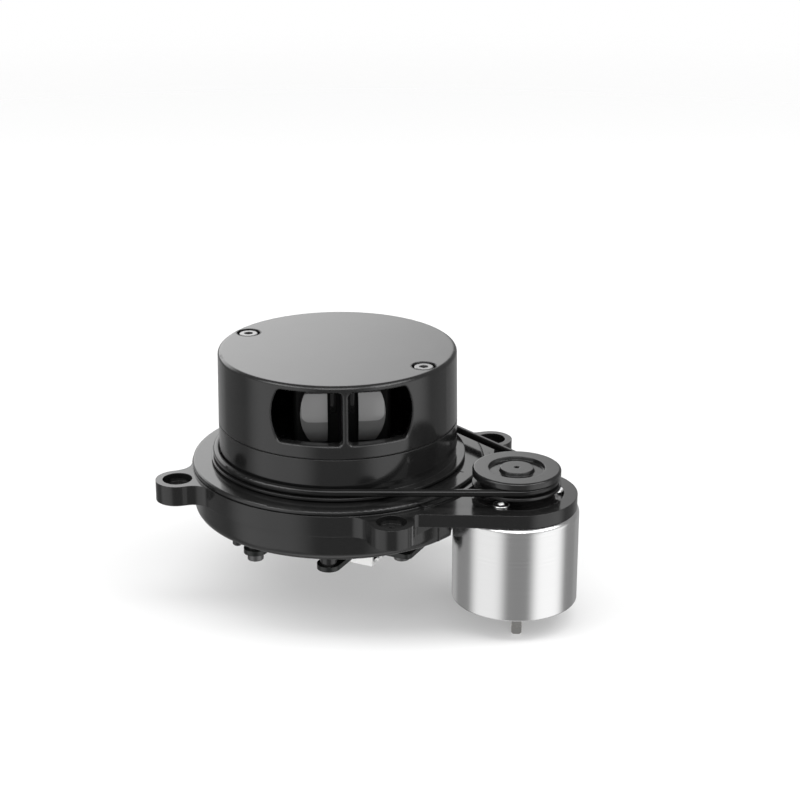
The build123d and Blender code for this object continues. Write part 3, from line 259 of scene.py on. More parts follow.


# A painted reflection on each lens: a lighter rounded panel, set by its place beside the head's optical axis, with
# painted shade above it
def makeLensPaintedReflection():
    group, inside, outside = startGroup(
        "lensPaintedReflection",
        [
            ("Vector", vectorSocket, None),
            ("Across X", floatSocket, 0.0),
            ("Across Y", floatSocket, 1.0),
            ("Side", floatSocket, 0.006),
            ("Level", floatSocket, 0.025),
            ("Half Width", floatSocket, 0.003),
            ("Half Height", floatSocket, 0.003),
            ("Corner", floatSocket, 0.0015),
        ],
        [("Mask", floatSocket), ("Above", floatSocket)],
    )
    parts = addNode(group, "ShaderNodeSeparateXYZ")
    group.links.new(inside.outputs["Vector"], parts.inputs[0])
    along = mathNode(group, "MULTIPLY", parts.outputs[0], inside.outputs["Across X"])
    along = mathNode(group, "MULTIPLY_ADD", parts.outputs[1], inside.outputs["Across Y"], along)
    aside = mathNode(group, "SUBTRACT", mathNode(group, "ABSOLUTE", along), inside.outputs["Side"])
    rise = mathNode(group, "SUBTRACT", parts.outputs[2], inside.outputs["Level"])
    excess = []
    for offset, half in ((aside, "Half Width"), (rise, "Half Height")):
        straight = mathNode(group, "SUBTRACT", inside.outputs[half], inside.outputs["Corner"])
        beyond = mathNode(group, "SUBTRACT", mathNode(group, "ABSOLUTE", offset), straight)
        excess.append(mathNode(group, "MAXIMUM", beyond, 0.0))
    squares = mathNode(group, "MULTIPLY", excess[1], excess[1])
    squares = mathNode(group, "MULTIPLY_ADD", excess[0], excess[0], squares)
    reach = mathNode(group, "DIVIDE", mathNode(group, "SQRT", squares), inside.outputs["Corner"])
    fade = addNode(group, "ShaderNodeMapRange", interpolation_type="SMOOTHSTEP")
    setInputs(fade, From_Min=1.04, From_Max=0.9)
    group.links.new(reach, fade.inputs["Value"])
    group.links.new(fade.outputs["Result"], outside.inputs["Mask"])
    group.links.new(mathNode(group, "GREATER_THAN", rise, inside.outputs["Half Height"]), outside.inputs["Above"])
    return group


skinGrain, turnedMarks, edgeWear, dust = makeSkinGrain(), makeTurnedMarks(), makeEdgeWear(), makeDust()
lensPaintedReflection = makeLensPaintedReflection()
hollow, jointShade = makeHollowShade(), makeJointShade()
print("shared effects ready")


def placeGroup(tree, group, vector, **values):
    node = addNode(tree, "ShaderNodeGroup", node_tree=group)
    tree.links.new(vector, node.inputs["Vector"])
    return setInputs(node, **values)


# What every finish shares
commonLook = {
    "dustColour": (0.35, 0.34, 0.33),
    "dustRoughness": 0.4,
    # Painted shade colour for joint lines and hollows
    "shadeColour": (0.0005, 0.0005, 0.0005),
    # Painted shade on each lens above its painted reflection
    "lensShadeAboveReflection": (0.01, 0.01, 0.01),
}


# One finish: a Principled surface with grain or tool marks, worn edges and a little dust, and, where asked, painted
# shade at joints and in hollows and a painted reflection on the lens
def makeFinish(name, look):
    material = bpy.data.materials.new(name)
    material.use_nodes = True
    tree = material.node_tree
    surface = tree.nodes["Principled BSDF"]
    vector = addNode(tree, "ShaderNodeTexCoord").outputs["Object"]
    colour, rubbed = look["colour"], look.get("rubbed", look["colour"])
    if "centre" in look:
        marks = placeGroup(tree, turnedMarks, vector, Rings=look["marks"])
        setInputs(marks, Centre_X=look["centre"][0], Centre_Y=look["centre"][1])
    else:
        marks = placeGroup(tree, skinGrain, vector, Pebbles=look["marks"])
    edges = placeGroup(tree, edgeWear, vector, Radius=look.get("edge", 0.00015))
    settled = placeGroup(tree, dust, vector, Amount=look.get("dust", 0.03))
    variation = look.get("variation", 0.15)
    darker = [c * (1 - variation) for c in colour]
    lighter = [min(1, c * (1 + variation)) for c in colour]
    base = mixColour(tree, marks.outputs["Tone"], darker, lighter)
    worn = mathNode(tree, "MULTIPLY", edges.outputs["Mask"], look.get("wear", 0.5))
    base = mixColour(tree, worn, base, rubbed)
    base = mixColour(tree, settled.outputs["Mask"], base, commonLook["dustColour"])
    spread = look.get("spread", 0.08)
    rough = mathNode(tree, "MULTIPLY_ADD", marks.outputs["Tone"], spread, look["roughness"] - spread / 2)
    # Painted shade: joint lines and hollows take the near-black shade colour and lose their gloss
    shades = [placeGroup(tree, jointShade, vector, Level=level) for level in look.get("joints", ())]
    if "hollow" in look:
        shades.append(placeGroup(tree, hollow, vector, Radius=look["hollow"][0], Roof=look["hollow"][1]))
    for shade in shades:
        base = mixColour(tree, shade.outputs["Mask"], base, commonLook["shadeColour"])
        rough = mathNode(tree, "MAXIMUM", rough, shade.outputs["Mask"])
    # Painted reflection on the lens: a lighter panel, with painted shade above it
    if "paintedReflection" in look:
        paintedReflection = placeGroup(tree, lensPaintedReflection, vector, **look["paintedReflection"])
        base = mixColour(tree, paintedReflection.outputs["Mask"], base, look["paintedReflectionColour"])
        base = mixColour(tree, paintedReflection.outputs["Above"], base, commonLook["lensShadeAboveReflection"])
    tree.links.new(base, surface.inputs["Base Color"])
    dustRough = commonLook["dustRoughness"]
    rough = mathNode(tree, "MULTIPLY_ADD", settled.outputs["Mask"], dustRough, rough, clamp=True)
    tree.links.new(rough, surface.inputs["Roughness"])
    bump = setInputs(addNode(tree, "ShaderNodeBump"), Strength=look.get("bump", 0.1), Distance=0.02 * mm)
    tree.links.new(marks.outputs["Height"], bump.inputs["Height"])
    tree.links.new(edges.outputs["Normal"], bump.inputs["Normal"])
    tree.links.new(bump.outputs[0], surface.inputs["Normal"])
    surface.inputs["Metallic"].default_value = look.get("metal", 0.0)
    surface.inputs["IOR"].default_value = 1.5
    surface.inputs["Specular IOR Level"].default_value = look.get("specular", 0.5)
    surface.inputs["Coat Weight"].default_value = look.get("coat", 0.0)
    surface.inputs["Coat Roughness"].default_value = 0.1
    return material


motorLow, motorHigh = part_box("motor_can")
motorCentre = ((motorLow + motorHigh) / 2).xy
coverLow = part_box("head_cover")[0]
windowAngle = -58.6                      # degrees, the way the windows face
# The inside of the head's cover, which is painted in shade
coverHollowShade = (26.05 * mm, 31.4 * mm)    # the inside of the head's cover: radius and roof
finishes = {
    "blackPlastic": {"colour": (0.007, 0.007, 0.007), "roughness": 0.13, "marks": 2600.0, "bump": 0.03, "specular": 0.6,
                     "rubbed": (0.03, 0.03, 0.03), "wear": 0.3, "edge": 0.00018},
    "ringBlack": {"colour": (0.007, 0.007, 0.007), "roughness": 0.13, "marks": 2600.0, "bump": 0.03, "specular": 0.65,
                  "rubbed": (0.03, 0.03, 0.03), "wear": 0.1, "edge": 0.00045},
    "rotorBlack": {"colour": (0.008, 0.008, 0.008), "roughness": 0.13, "marks": 2600.0, "bump": 0.03, "specular": 0.6,
                   "rubbed": (0.03, 0.03, 0.03), "wear": 0.1, "edge": 0.0003, "joints": (coverLow.z,)},
    "coverBlack": {"colour": (0.008, 0.008, 0.008), "roughness": 0.13, "marks": 3000.0, "bump": 0.03, "specular": 0.65,
                   "rubbed": (0.03, 0.03, 0.03), "wear": 0.1, "edge": 0.0006,
                   "joints": (coverLow.z,), "hollow": coverHollowShade},
    "rubber": {"colour": (0.005, 0.005, 0.005), "roughness": 0.14, "marks": 5000.0, "bump": 0.04, "specular": 0.42},
    "pulleyBlack": {"colour": (0.008, 0.008, 0.008), "roughness": 0.16, "marks": 9000.0, "bump": 0.06, "specular": 0.65,
                    "centre": motorCentre, "rubbed": (0.04, 0.04, 0.04), "wear": 0.2, "edge": 0.00025},
    "canSteel": {"colour": (0.86, 0.86, 0.86), "roughness": 0.2, "marks": 16000.0, "bump": 0.06, "metal": 1.0,
                 "centre": motorCentre, "variation": 0.03, "spread": 0.06, "dust": 0.02, "edge": 0.0003},
    "bearingSteel": {"colour": (0.72, 0.72, 0.74), "roughness": 0.18, "marks": 8000.0, "metal": 1.0,
                     "centre": (0.0, 0.0)},
    "screwBlack": {"colour": (0.3, 0.3, 0.3), "roughness": 0.3, "marks": 5000.0, "metal": 0.9, "specular": 0.8,
                   "rubbed": (0.5, 0.5, 0.5), "wear": 0.8, "edge": 0.00012},
    "screwZinc": {"colour": (0.95, 0.95, 0.95), "roughness": 0.16, "marks": 5000.0, "metal": 1.0},
    "screwGrey": {"colour": (0.13, 0.13, 0.13), "roughness": 0.3, "marks": 5000.0, "metal": 0.8},
    "boardMask": {"colour": (0.006, 0.007, 0.0065), "roughness": 0.28, "marks": 4000.0, "bump": 0.1},
    "nylon": {"colour": (0.93, 0.93, 0.92), "roughness": 0.42, "marks": 2500.0, "bump": 0.08, "variation": 0.02},
    "tinned": {"colour": (0.7, 0.69, 0.67), "roughness": 0.28, "marks": 6000.0, "metal": 1.0},
    "copper": {"colour": (0.62, 0.28, 0.13), "roughness": 0.3, "marks": 7000.0, "metal": 1.0, "bump": 0.4},
    "ferrite": {"colour": (0.06, 0.06, 0.065), "roughness": 0.6, "marks": 2500.0, "bump": 0.3},
    "coreSteel": {"colour": (0.3, 0.3, 0.31), "roughness": 0.4, "marks": 4000.0, "metal": 1.0},
    "bronze": {"colour": (0.5, 0.34, 0.2), "roughness": 0.4, "marks": 4000.0, "metal": 1.0, "bump": 0.3},
    "chipBlack": {"colour": (0.02, 0.02, 0.02), "roughness": 0.5, "marks": 6000.0, "bump": 0.2},
    "ceramic": {"colour": (0.32, 0.25, 0.18), "roughness": 0.4, "marks": 6000.0, "bump": 0.1},
    # Near-black matte: partly the own black of parts inside the head, made darker than the other black plastic as
    # painted shade there; also the painted shade of the connector's mouth and the ring's joint
    "benchBlackAndShade": {"colour": (0.002, 0.002, 0.002), "roughness": 0.5, "marks": 3000.0, "bump": 0.1, "specular": 0.2},
    # The lens's lighter panel is a painted reflection, and above it the lens is painted in shade
    "lensDark": {"colour": (0.085, 0.085, 0.085), "roughness": 0.14, "marks": 400.0, "bump": 0.0, "specular": 0.6,
                 "coat": 0.3, "variation": 0.05, "wear": 0.0, "dust": 0.0, "paintedReflectionColour": (0.18, 0.18, 0.18), "paintedReflection": {
                     "Across_X": -sin(radians(windowAngle)), "Across_Y": cos(radians(windowAngle)), "Side": 5.2 * mm,
                     "Level": 24.65 * mm, "Half_Width": 4.25 * mm, "Half_Height": 3.35 * mm, "Corner": 1.7 * mm}},
}
wearing = {
    "ringBlack": ["cover_ring"],
    "blackPlastic": ["base_housing", "coil_post", "encoder_ring", "end_bell"],
    "rotorBlack": ["rotor_base"],
    "coverBlack": ["head_cover"],
    "rubber": ["drive_belt"],
    "pulleyBlack": ["drive_pulley"],
    "canSteel": ["motor_can"],
    "bearingSteel": ["bearing_outer_race", "bearing_inner_race", "bearing_balls", "retaining_ring", "motor_shaft"],
    "screwBlack": ["cover_screws"],
    "screwZinc": ["motor_screws"],
    "screwGrey": ["board_screws"],
    "boardMask": ["main_board", "rotor_board", "sensor_board"],
    "nylon": ["data_connector"],
    "tinned": ["connector_pins", "motor_terminals", "laser_module"],
    "copper": ["lower_coil", "upper_coil", "armature_windings", "commutator"],
    "ferrite": ["motor_magnets"],
    "coreSteel": ["armature_core"],
    "bronze": ["motor_bushings", "motor_brushes"],
    "chipBlack": ["speed_sensor", "image_sensor"],
    "benchBlackAndShade": ["optical_bench", "bench_screws"],
    "lensDark": ["emitter_lens", "receiver_lens"],
}
materials = {name: makeFinish(name, look) for name, look in finishes.items()}
for name, members in wearing.items():
    for member in members:
        data = nodes[member].data
        data.materials.clear()
        data.materials.append(materials[name])
print("finishes on the CAD nodes")


# Piece helpers: each shape is made by itself and then joined to its piece
def joinTo(work, part):
    mesh = bpy.data.meshes.new("step")
    part.to_mesh(mesh)
    part.free()
    work.from_mesh(mesh)
    bpy.data.meshes.remove(mesh)


def addBlock(work, size, place, turn=0.0, rounding=0.0, taper=1.0):
    part = bmesh.new()
    bmesh.ops.create_cube(part, size=1.0)
    top = [v for v in part.verts if v.co.z > 0]
    bmesh.ops.scale(part, verts=top, vec=(taper, taper, 1.0))
    bmesh.ops.scale(part, verts=part.verts, vec=size)
    if rounding:
        bmesh.ops.bevel(part, geom=part.edges[:], offset=rounding, segments=2, profile=0.5,
                        affect="EDGES", material=-1)
    bmesh.ops.rotate(part, verts=part.verts, matrix=Matrix.Rotation(turn, 3, "Z"))
    bmesh.ops.translate(part, verts=part.verts, vec=place)
    joinTo(work, part)


def addTurned(work, profile, place, steps=32):
    part = bmesh.new()
    # A ring closes on itself, a disc on the axis
    closing = profile[:1] if profile[0][0] > 0 else [(0.0, profile[-1][1])]
    verts = [part.verts.new((radius, 0.0, height)) for radius, height in profile + closing]
    edges = [part.edges.new(pair) for pair in zip(verts, verts[1:])]
    bmesh.ops.spin(part, geom=verts + edges, cent=(0, 0, 0), axis=(0, 0, 1), angle=2 * pi,
                   steps=steps, use_merge=True)
    bmesh.ops.remove_doubles(part, verts=part.verts, dist=1e-7)
    bmesh.ops.translate(part, verts=part.verts, vec=place)
    joinTo(work, part)


def addPiece(name, work, finish, body, sharpAngle=35.0):
    bmesh.ops.remove_doubles(work, verts=work.verts, dist=1e-7)
    bmesh.ops.recalc_face_normals(work, faces=work.faces)
    mesh = bpy.data.meshes.new(name)
    work.to_mesh(mesh)
    work.free()
    mesh.shade_smooth()
    mesh.set_sharp_from_angle(angle=radians(sharpAngle))
    mesh.materials.append(materials[finish])
    piece = bpy.data.objects.new(name, mesh)
    bpy.context.scene.collection.objects.link(piece)
    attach(piece, body)


def inMetres(profile):
    return [(radius * mm, height * mm) for radius, height in profile]


def around(radius, angle, height):
    return (radius * cos(radians(angle)), radius * sin(radians(angle)), height)


# Board parts: packages, their leads, ceramics, drum coils and screw pads under the main board, in mm
boardParts = {
    # Middle, width, depth, height, leads on a side
    "packages": [
        (-7.0, 1.5, 8.0, 8.0, 1.2, 10),
        (-18.0, -5.5, 5.0, 4.0, 1.1, 5),
        (-18.0, 5.0, 5.0, 4.0, 1.1, 5),
        (1.5, -7.5, 3.4, 3.4, 0.9, 3),
    ],
    "packageGap": 0.08,
    "dot": [(0.0, 0.0), (0.35, 0.0), (0.42, -0.03), (0.35, -0.05), (0.0, -0.05)],
    "dotInset": 0.9,
    "leadWidth": 0.3,
    "leadInset": 0.7,
    # Length, height, reach from the package's edge, drop from the board
    "leadSteps": [(0.5, 0.14, 0.0, 0.55), (0.14, 0.5, 0.22, 0.32), (0.6, 0.12, 0.5, 0.07)],
    "ceramics": [
        (-13.0, -8.0), (-10.5, -8.0), (-8.0, -8.0), (-5.5, -8.0), (-13.0, 9.5), (-10.5, 9.5),
        (-8.0, 9.5), (-5.5, 9.5), (-1.0, 3.0), (-1.0, 5.0), (-1.0, 0.5), (2.0, 8.0),
        (4.5, 8.0), (7.0, 8.0), (17.5, -6.0), (17.5, -3.5), (17.5, -1.0),
    ],
    "ceramicSize": (1.1, 0.8, 0.55),
    "endSize": (0.34, 0.86, 0.6),
    "endReach": 0.68,
    "drumCoils": [(4.0, 2.0), (19.0, 4.5)],
    "drum": [(0.0, -1.9), (1.9, -1.9), (2.0, -1.8), (2.0, -1.45), (1.2, -1.4), (1.2, -0.5), (2.0, -0.45), (2.0, 0.0)],
    "coilTurns": 5,
    "coilPitch": 0.17,
    "screwPads": [(-20.9, -8.4), (-20.9, 8.4), (20.9, -8.4), (20.9, 8.4)],
    "pad": [(1.0, -0.04), (2.5, -0.04), (2.55, 0.0), (1.0, 0.0)],
}


def makeBoardParts():
    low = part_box("main_board")[0].z
    bodies, metal, clay, coils = bmesh.new(), bmesh.new(), bmesh.new(), bmesh.new()
    width, inset = boardParts["leadWidth"] * mm, boardParts["dotInset"]
    for x, y, wide, deep, tall, leads in boardParts["packages"]:
        middle = (x * mm, y * mm, low - (tall / 2 + boardParts["packageGap"]) * mm)
        addBlock(bodies, (wide * mm, deep * mm, tall * mm), middle, rounding=0.12 * mm, taper=1.04)
        corner = ((x - wide / 2 + inset) * mm, (y - deep / 2 + inset) * mm, low - (tall + 0.07) * mm)
        addTurned(bodies, inMetres(boardParts["dot"]), corner, steps=12)
        pitch = (wide - 2 * boardParts["leadInset"]) / max(1, leads - 1)
        for lead in range(leads):
            place = x - wide / 2 + boardParts["leadInset"] + lead * pitch
            for side in (-1, 1):
                edge = y + side * (deep / 2 + 0.2)
                for length, height, reach, drop in boardParts["leadSteps"]:
                    spot = (place * mm, (edge + side * reach) * mm, low - drop * mm)
                    addBlock(metal, (width, length * mm, height * mm), spot)
    for x, y in boardParts["ceramics"]:
        addBlock(clay, [size * mm for size in boardParts["ceramicSize"]], (x * mm, y * mm, low - 0.33 * mm),
                 rounding=0.04 * mm)
        for side in (-1, 1):
            spot = ((x + side * boardParts["endReach"]) * mm, y * mm, low - 0.32 * mm)
            addBlock(metal, [size * mm for size in boardParts["endSize"]], spot, rounding=0.08 * mm)
    ridges = [(1.2, -1.38)]
    for turn in range(boardParts["coilTurns"]):
        rise = turn * boardParts["coilPitch"]
        ridges += [(1.72, -1.3 + rise), (1.62, -1.22 + rise)]
    ridges.append((1.2, -0.52))
    for x, y in boardParts["drumCoils"]:
        addTurned(bodies, inMetres(boardParts["drum"]), (x * mm, y * mm, low), steps=40)
        addTurned(coils, inMetres(ridges), (x * mm, y * mm, low), steps=40)
    for x, y in boardParts["screwPads"]:
        addTurned(metal, inMetres(boardParts["pad"]), (x * mm, y * mm, low), steps=40)
    addPiece("boardChips", bodies, "chipBlack", "base")
    addPiece("boardCeramics", clay, "ceramic", "base")
    addPiece("boardMetal", metal, "tinned", "base")
    addPiece("boardCoils", coils, "copper", "base")


makeBoardParts()

# Connector insert: five cells round the pins, sunk in the connector's mouth, in mm. The cells are the insert's shape;
# its near-black colour is painted shade in the mouth
insertSettings = {
    "cells": 5,
    "depth": 3.4,
    "cellShare": 0.8,      # of the depth
    "wall": 0.28,
    "clearance": 0.05,
    "shellWall": 0.8,
    "setBack": 0.35,
}


def makeConnectorInsertShade():
    low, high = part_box("data_connector")
    wall = insertSettings["shellWall"] * mm + insertSettings["clearance"] * mm
    wide, tall = high.y - low.y - 2 * wall, high.z - low.z - 2 * wall
    depth = insertSettings["depth"] * mm
    work = bmesh.new()
    bmesh.ops.create_grid(work, x_segments=insertSettings["cells"], y_segments=1, size=0.5)
    bmesh.ops.scale(work, verts=work.verts, vec=(wide, tall, 1.0))
    cells = work.faces[:]
    skirt = bmesh.ops.extrude_edge_only(work, edges=[e for e in work.edges if e.is_boundary])
    hem = [v for v in skirt["geom"] if isinstance(v, bmesh.types.BMVert)]
    bmesh.ops.translate(work, verts=hem, vec=(0, 0, -depth))
    bmesh.ops.holes_fill(work, edges=[e for e in work.edges if e.is_boundary])
    bmesh.ops.inset_individual(work, faces=cells, thickness=insertSettings["wall"] * mm)
    sunk = bmesh.ops.extrude_discrete_faces(work, faces=cells)["faces"]
    walls = {v for face in sunk for v in face.verts}
    bmesh.ops.translate(work, verts=list(walls), vec=(0, 0, -depth * insertSettings["cellShare"]))
    middle = (low + high) / 2
    turn = Matrix.Rotation(radians(90), 3, "Y") @ Matrix.Rotation(radians(90), 3, "Z")
    bmesh.ops.rotate(work, verts=work.verts, matrix=turn)
    bmesh.ops.translate(work, verts=work.verts, vec=(high.x - insertSettings["setBack"] * mm, middle.y, middle.z))
    addPiece("connectorInsertShade", work, "benchBlackAndShade", "base")


makeConnectorInsertShade()

# Small mouldings on the base, in mm and degrees: a locating block, a foot, webs under the arm, ejector marks, and the
# ring's joint, a near-black strip painted as the shade of its split
baseMouldings = {
    "deckBlock": (32.4, 20.8, 1.8, 2.2, 0.95, 26.0),     # middle, size, turn
    "deckLevel": 4.75,
    "foot": (-10.2, -30.5, 1.15, 1.1),                   # middle, radius, drop
    "footLevel": -6.2,
    "armWeb": (34.3, 17.2, 2.7, 0.55, 4.2, 65.8),        # reach, aside, length, thickness, drop, lean
    "webTop": 1.75,
    "ejectorReach": 27.0,
    "ejectorAngles": (100.0, 60.0, 140.0, 200.0, 160.0, 330.0, 30.0),
    "ejectorRadius": 1.6,
    "floorLevel": -6.5,
    "ringJointShade": (30.65, 4.1, 2.3, 0.28, 0.08, 8.0),     # reach, angle, length, width, height, lean
}


def makeBaseMouldings():
    work = bmesh.new()
    x, y, wide, deep, tall, turn = baseMouldings["deckBlock"]
    level = baseMouldings["deckLevel"] + tall / 2 - 0.05
    addBlock(work, (wide * mm, deep * mm, tall * mm), (x * mm, y * mm, level * mm),
             turn=radians(turn), rounding=0.15 * mm, taper=0.9)
    x, y, radius, drop = baseMouldings["foot"]
    profile = [(0.0, -drop), (radius * 0.7, -drop), (radius, -drop * 0.7), (radius, 0.6)]
    addTurned(work, inMetres(profile), (x * mm, y * mm, baseMouldings["footLevel"] * mm), steps=24)
    reach, aside, length, thickness, drop, lean = baseMouldings["armWeb"]
    for side in (-1, 1):
        spot = (reach * mm, side * aside * mm, (baseMouldings["webTop"] - drop / 2) * mm)
        addBlock(work, (length * mm, thickness * mm, drop * mm), spot, turn=radians(side * lean), rounding=0.12 * mm)
    size = baseMouldings["ejectorRadius"]
    profile = [(size * 0.86, 0.02), (size * 0.9, -0.05), (size, -0.05), (size * 1.04, 0.02)]
    for angle in baseMouldings["ejectorAngles"]:
        spot = around(baseMouldings["ejectorReach"] * mm, angle, baseMouldings["floorLevel"] * mm)
        addTurned(work, inMetres(profile), spot, steps=28)
    addPiece("baseMouldings", work, "blackPlastic", "base")
    # The ring's joint: a thin near-black strip on the ring's top, painted shade of its split
    reach, angle, length, width, height, lean = baseMouldings["ringJointShade"]
    work = bmesh.new()
    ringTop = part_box("cover_ring")[1].z
    addBlock(work, (length * mm, width * mm, height * mm), around(reach * mm, angle, ringTop),
             turn=radians(angle - lean), rounding=0.02 * mm)
    addPiece("ringJointShade", work, "benchBlackAndShade", "base")


makeBaseMouldings()

# Head details: polished rims round the screw pockets and pads beside the partition, in mm
headDetails = {
    "screwReach": 24.2,
    "screwAngles": (-8.0, 179.6),
    "rim": (2.8, 3.08),
    "padPlace": (16.8, 2.1),
    "padSize": (0.5, 1.5, 7.0),
    "padHeight": 26.2,
}


def makeHeadDetails():
    work = bmesh.new()
    inner, outer = headDetails["rim"]
    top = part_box("head_cover")[1].z
    for angle in headDetails["screwAngles"]:
        profile = [(inner, -0.3), (inner, 0.01), (inner + 0.09, 0.05), (outer, 0.0)]
        addTurned(work, inMetres(profile), around(headDetails["screwReach"] * mm, angle, top), steps=48)
    addPiece("pocketRims", work, "coverBlack", "head", sharpAngle=60.0)
    work = bmesh.new()
    reach, aside = headDetails["padPlace"]
    turn = radians(windowAngle)
    for side in (-1, 1):
        u, v = reach * mm, side * aside * mm
        place = (u * cos(turn) - v * sin(turn), u * sin(turn) + v * cos(turn), headDetails["padHeight"] * mm)
        addBlock(work, [size * mm for size in headDetails["padSize"]], place, turn=turn, rounding=0.12 * mm)
    addPiece("lensPads", work, "blackPlastic", "head")


makeHeadDetails()

# Motor details: crimped tabs over the end bell and ribs on it, in mm
motorDetails = {
    "tabs": 6,
    "tabSize": (1.6, 3.0, 0.4),
    "tabReach": 12.9,
    "tabLift": 0.55,
    "ribs": 6,
    "ribSize": (6.0, 0.9, 0.35),
    "ribReach": 8.3,
    "ribLift": 0.7,
    "firstAngle": 13,
}


def makeMotorDetails():
    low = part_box("motor_can")[0].z
    for name, kind, finish, slot in (
        ("canCrimps", "tab", "canSteel", "can_steel"),
        ("bellRibs", "rib", "blackPlastic", "gloss_black"),
    ):
        work = bmesh.new()
        count, size = motorDetails[kind + "s"], [length * mm for length in motorDetails[kind + "Size"]]
        height = low + motorDetails[kind + "Lift"] * mm
        for step in range(count):
            angle = 360 * step / count + motorDetails["firstAngle"]
            x, y, z = around(motorDetails[kind + "Reach"] * mm, angle, height)
            place = (x + motorCentre.x, y + motorCentre.y, z)
            addBlock(work, size, place, turn=radians(angle), rounding=0.12 * mm)
        addPiece(name, work, finish, "base")


makeMotorDetails()
print("small pieces ready")

# Floor: pale, with the object's shadow, fading into the white surroundings
floorSettings = {
    "size": 4.0,
    "colour": (0.45, 0.45, 0.45),
    "paper": (0.28, 0.28, 0.28),
    "fadeStart": 0.35,
    "fadeEnd": 0.9,
}


def makeFloor():
    low = cadBox[0].z
    work = bmesh.new()
    bmesh.ops.create_grid(work, x_segments=8, y_segments=8, size=floorSettings["size"] / 2)
    bmesh.ops.translate(work, verts=work.verts, vec=(0, 0, low))
    mesh = bpy.data.meshes.new("floor")
    work.to_mesh(mesh)
    work.free()
    floor = bpy.data.objects.new("floor", mesh)
    bpy.context.scene.collection.objects.link(floor)
    material = bpy.data.materials.new("floorPaper")
    material.use_nodes = True
    tree = material.node_tree
    surface = tree.nodes["Principled BSDF"]
    surface.inputs["Base Color"].default_value = (*floorSettings["colour"], 1)
    surface.inputs["Emission Color"].default_value = (*floorSettings["paper"], 1)
    ray = addNode(tree, "ShaderNodeLightPath")
    tree.links.new(ray.outputs["Is Camera Ray"], surface.inputs["Emission Strength"])
    surface.inputs["Roughness"].default_value = 0.9
    surface.inputs["Specular IOR Level"].default_value = 0.0
    vector = addNode(tree, "ShaderNodeTexCoord").outputs["Object"]
    reach = addNode(tree, "ShaderNodeVectorMath", operation="LENGTH")
    tree.links.new(vector, reach.inputs[0])
    fade = addNode(tree, "ShaderNodeMapRange", interpolation_type="SMOOTHSTEP")
    setInputs(fade, From_Min=floorSettings["fadeStart"], From_Max=floorSettings["fadeEnd"], To_Min=1.0, To_Max=0.0)
    tree.links.new(reach.outputs["Value"], fade.inputs["Value"])
    tree.links.new(fade.outputs["Result"], surface.inputs["Alpha"])
    mesh.materials.append(material)
    floor.visible_glossy = False


makeFloor()
print("floor ready")

# Studio panels that gloss and metal show: azimuth from the camera's side, elevation,
# half width and half height in degrees, brightness
studioPanels = {
    "frontLeft": (-56, -18, 42, 40, 0.68),
    "frontRight": (61, -18, 42, 40, 0.86),
    "behind": (-152, 19, 42, 19, 2.1),
    "behindRight": (158, -18, 34, 34, 0.1),
    "leftEdge": (-152, -18, 22, 26, 0.16),
    "highLeft": (-56, 38, 34, 19, 3.4),
    "highFront": (0, 38, 34, 18, 3.8),
    "highRight": (58, 38, 34, 19, 3.4),
    "below": (0, -90, 180, 46, 0.8),
}
studioBase = {"glossy": 0.25, "ambient": 0.72}


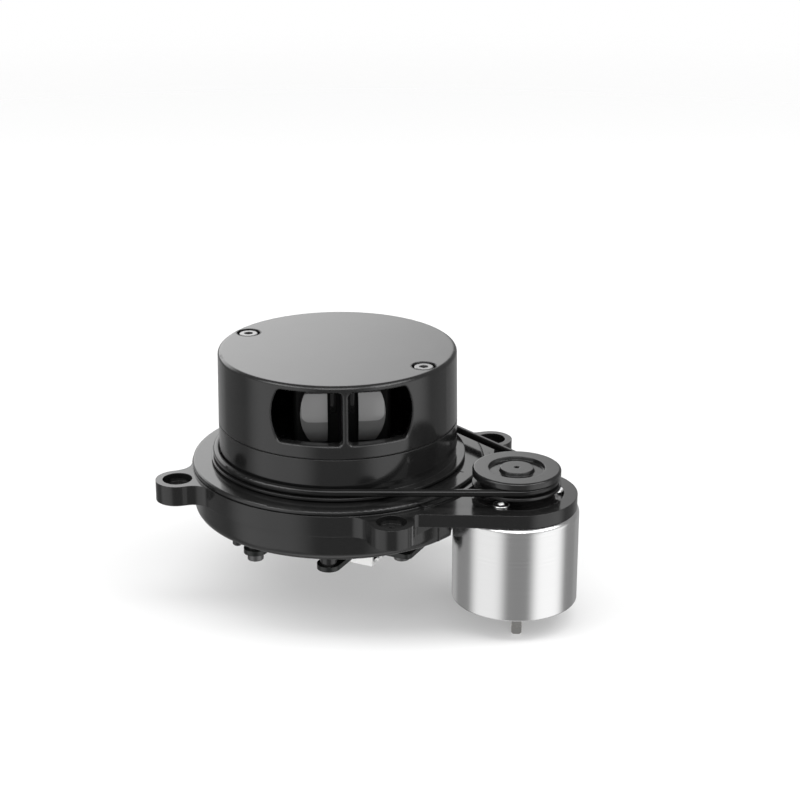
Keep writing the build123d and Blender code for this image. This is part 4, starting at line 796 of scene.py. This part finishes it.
def makeWorld():
    world = bpy.data.worlds.new("studio")
    bpy.context.scene.world = world
    world.use_nodes = True
    tree = world.node_tree
    background = tree.nodes["Background"]
    direction = addNode(tree, "ShaderNodeTexCoord").outputs["Generated"]
    parts = addNode(tree, "ShaderNodeSeparateXYZ")
    tree.links.new(direction, parts.inputs[0])
    climb = mathNode(tree, "ARCSINE", parts.outputs[2])
    flat = mathNode(tree, "SUBTRACT", 1.0001, mathNode(tree, "MULTIPLY", parts.outputs[2], parts.outputs[2]))
    flat = mathNode(tree, "SQRT", flat)
    total = studioBase["glossy"]
    for azimuth, elevation, halfWidth, halfHeight, brightness in studioPanels.values():
        heading = radians(camera["azimuth"] + azimuth)
        along = mathNode(tree, "MULTIPLY", parts.outputs[0], sin(heading))
        along = mathNode(tree, "MULTIPLY_ADD", parts.outputs[1], -cos(heading), along)
        lean = mathNode(tree, "DIVIDE", along, flat)
        wide = addNode(tree, "ShaderNodeMapRange", interpolation_type="SMOOTHSTEP")
        setInputs(wide, From_Min=cos(radians(halfWidth)) - 0.001, From_Max=cos(radians(halfWidth * 0.3)))
        tree.links.new(lean, wide.inputs["Value"])
        offset = mathNode(tree, "ABSOLUTE", mathNode(tree, "SUBTRACT", climb, radians(elevation)))
        tall = addNode(tree, "ShaderNodeMapRange", interpolation_type="SMOOTHSTEP")
        setInputs(tall, From_Min=radians(halfHeight), From_Max=radians(halfHeight * 0.35), To_Max=brightness)
        tree.links.new(offset, tall.inputs["Value"])
        total = mathNode(tree, "MULTIPLY_ADD", wide.outputs["Result"], tall.outputs["Result"], total)
    ray = addNode(tree, "ShaderNodeLightPath")
    glossy = mathNode(tree, "MULTIPLY", total, ray.outputs["Is Glossy Ray"])
    seen = mathNode(tree, "MAXIMUM", ray.outputs["Is Camera Ray"], ray.outputs["Is Transmission Ray"])
    other = mathNode(tree, "SUBTRACT", 1.0, mathNode(tree, "MAXIMUM", seen, ray.outputs["Is Glossy Ray"]))
    strength = mathNode(tree, "MULTIPLY_ADD", other, studioBase["ambient"], mathNode(tree, "ADD", glossy, seen))
    tree.links.new(strength, background.inputs["Strength"])
    background.inputs["Color"].default_value = (1, 1, 1, 1)


makeWorld()

# Softboxes: azimuth from the camera's side, elevation, distance, width, height, power
softboxes = {
    "keyLight": (-80, 34, 1.1, 1.0, 0.8, 5.5),
    "fillLight": (82, 34, 1.1, 1.0, 0.8, 5.5),
    "faceLight": (10, 8, 1.1, 0.8, 0.6, 8.0),
    "topLight": (0, 86, 1.1, 2.6, 0.4, 17.0),
}


def makeSoftboxes():
    for name, (azimuth, elevation, distance, width, height, power) in softboxes.items():
        heading, up = radians(camera["azimuth"] + azimuth), radians(elevation)
        place = Vector((sin(heading) * cos(up), -cos(heading) * cos(up), sin(up))) * distance
        data = bpy.data.lights.new(name, "AREA")
        data.shape = "RECTANGLE"
        data.size, data.size_y, data.energy = width, height, power
        lamp = bpy.data.objects.new(name, data)
        lamp.location = place
        lamp.rotation_euler = (-place).to_track_quat("-Z", "Y").to_euler()
        lamp.visible_camera = False
        lamp.visible_glossy = False
        bpy.context.scene.collection.objects.link(lamp)


makeSoftboxes()
print("studio light ready")
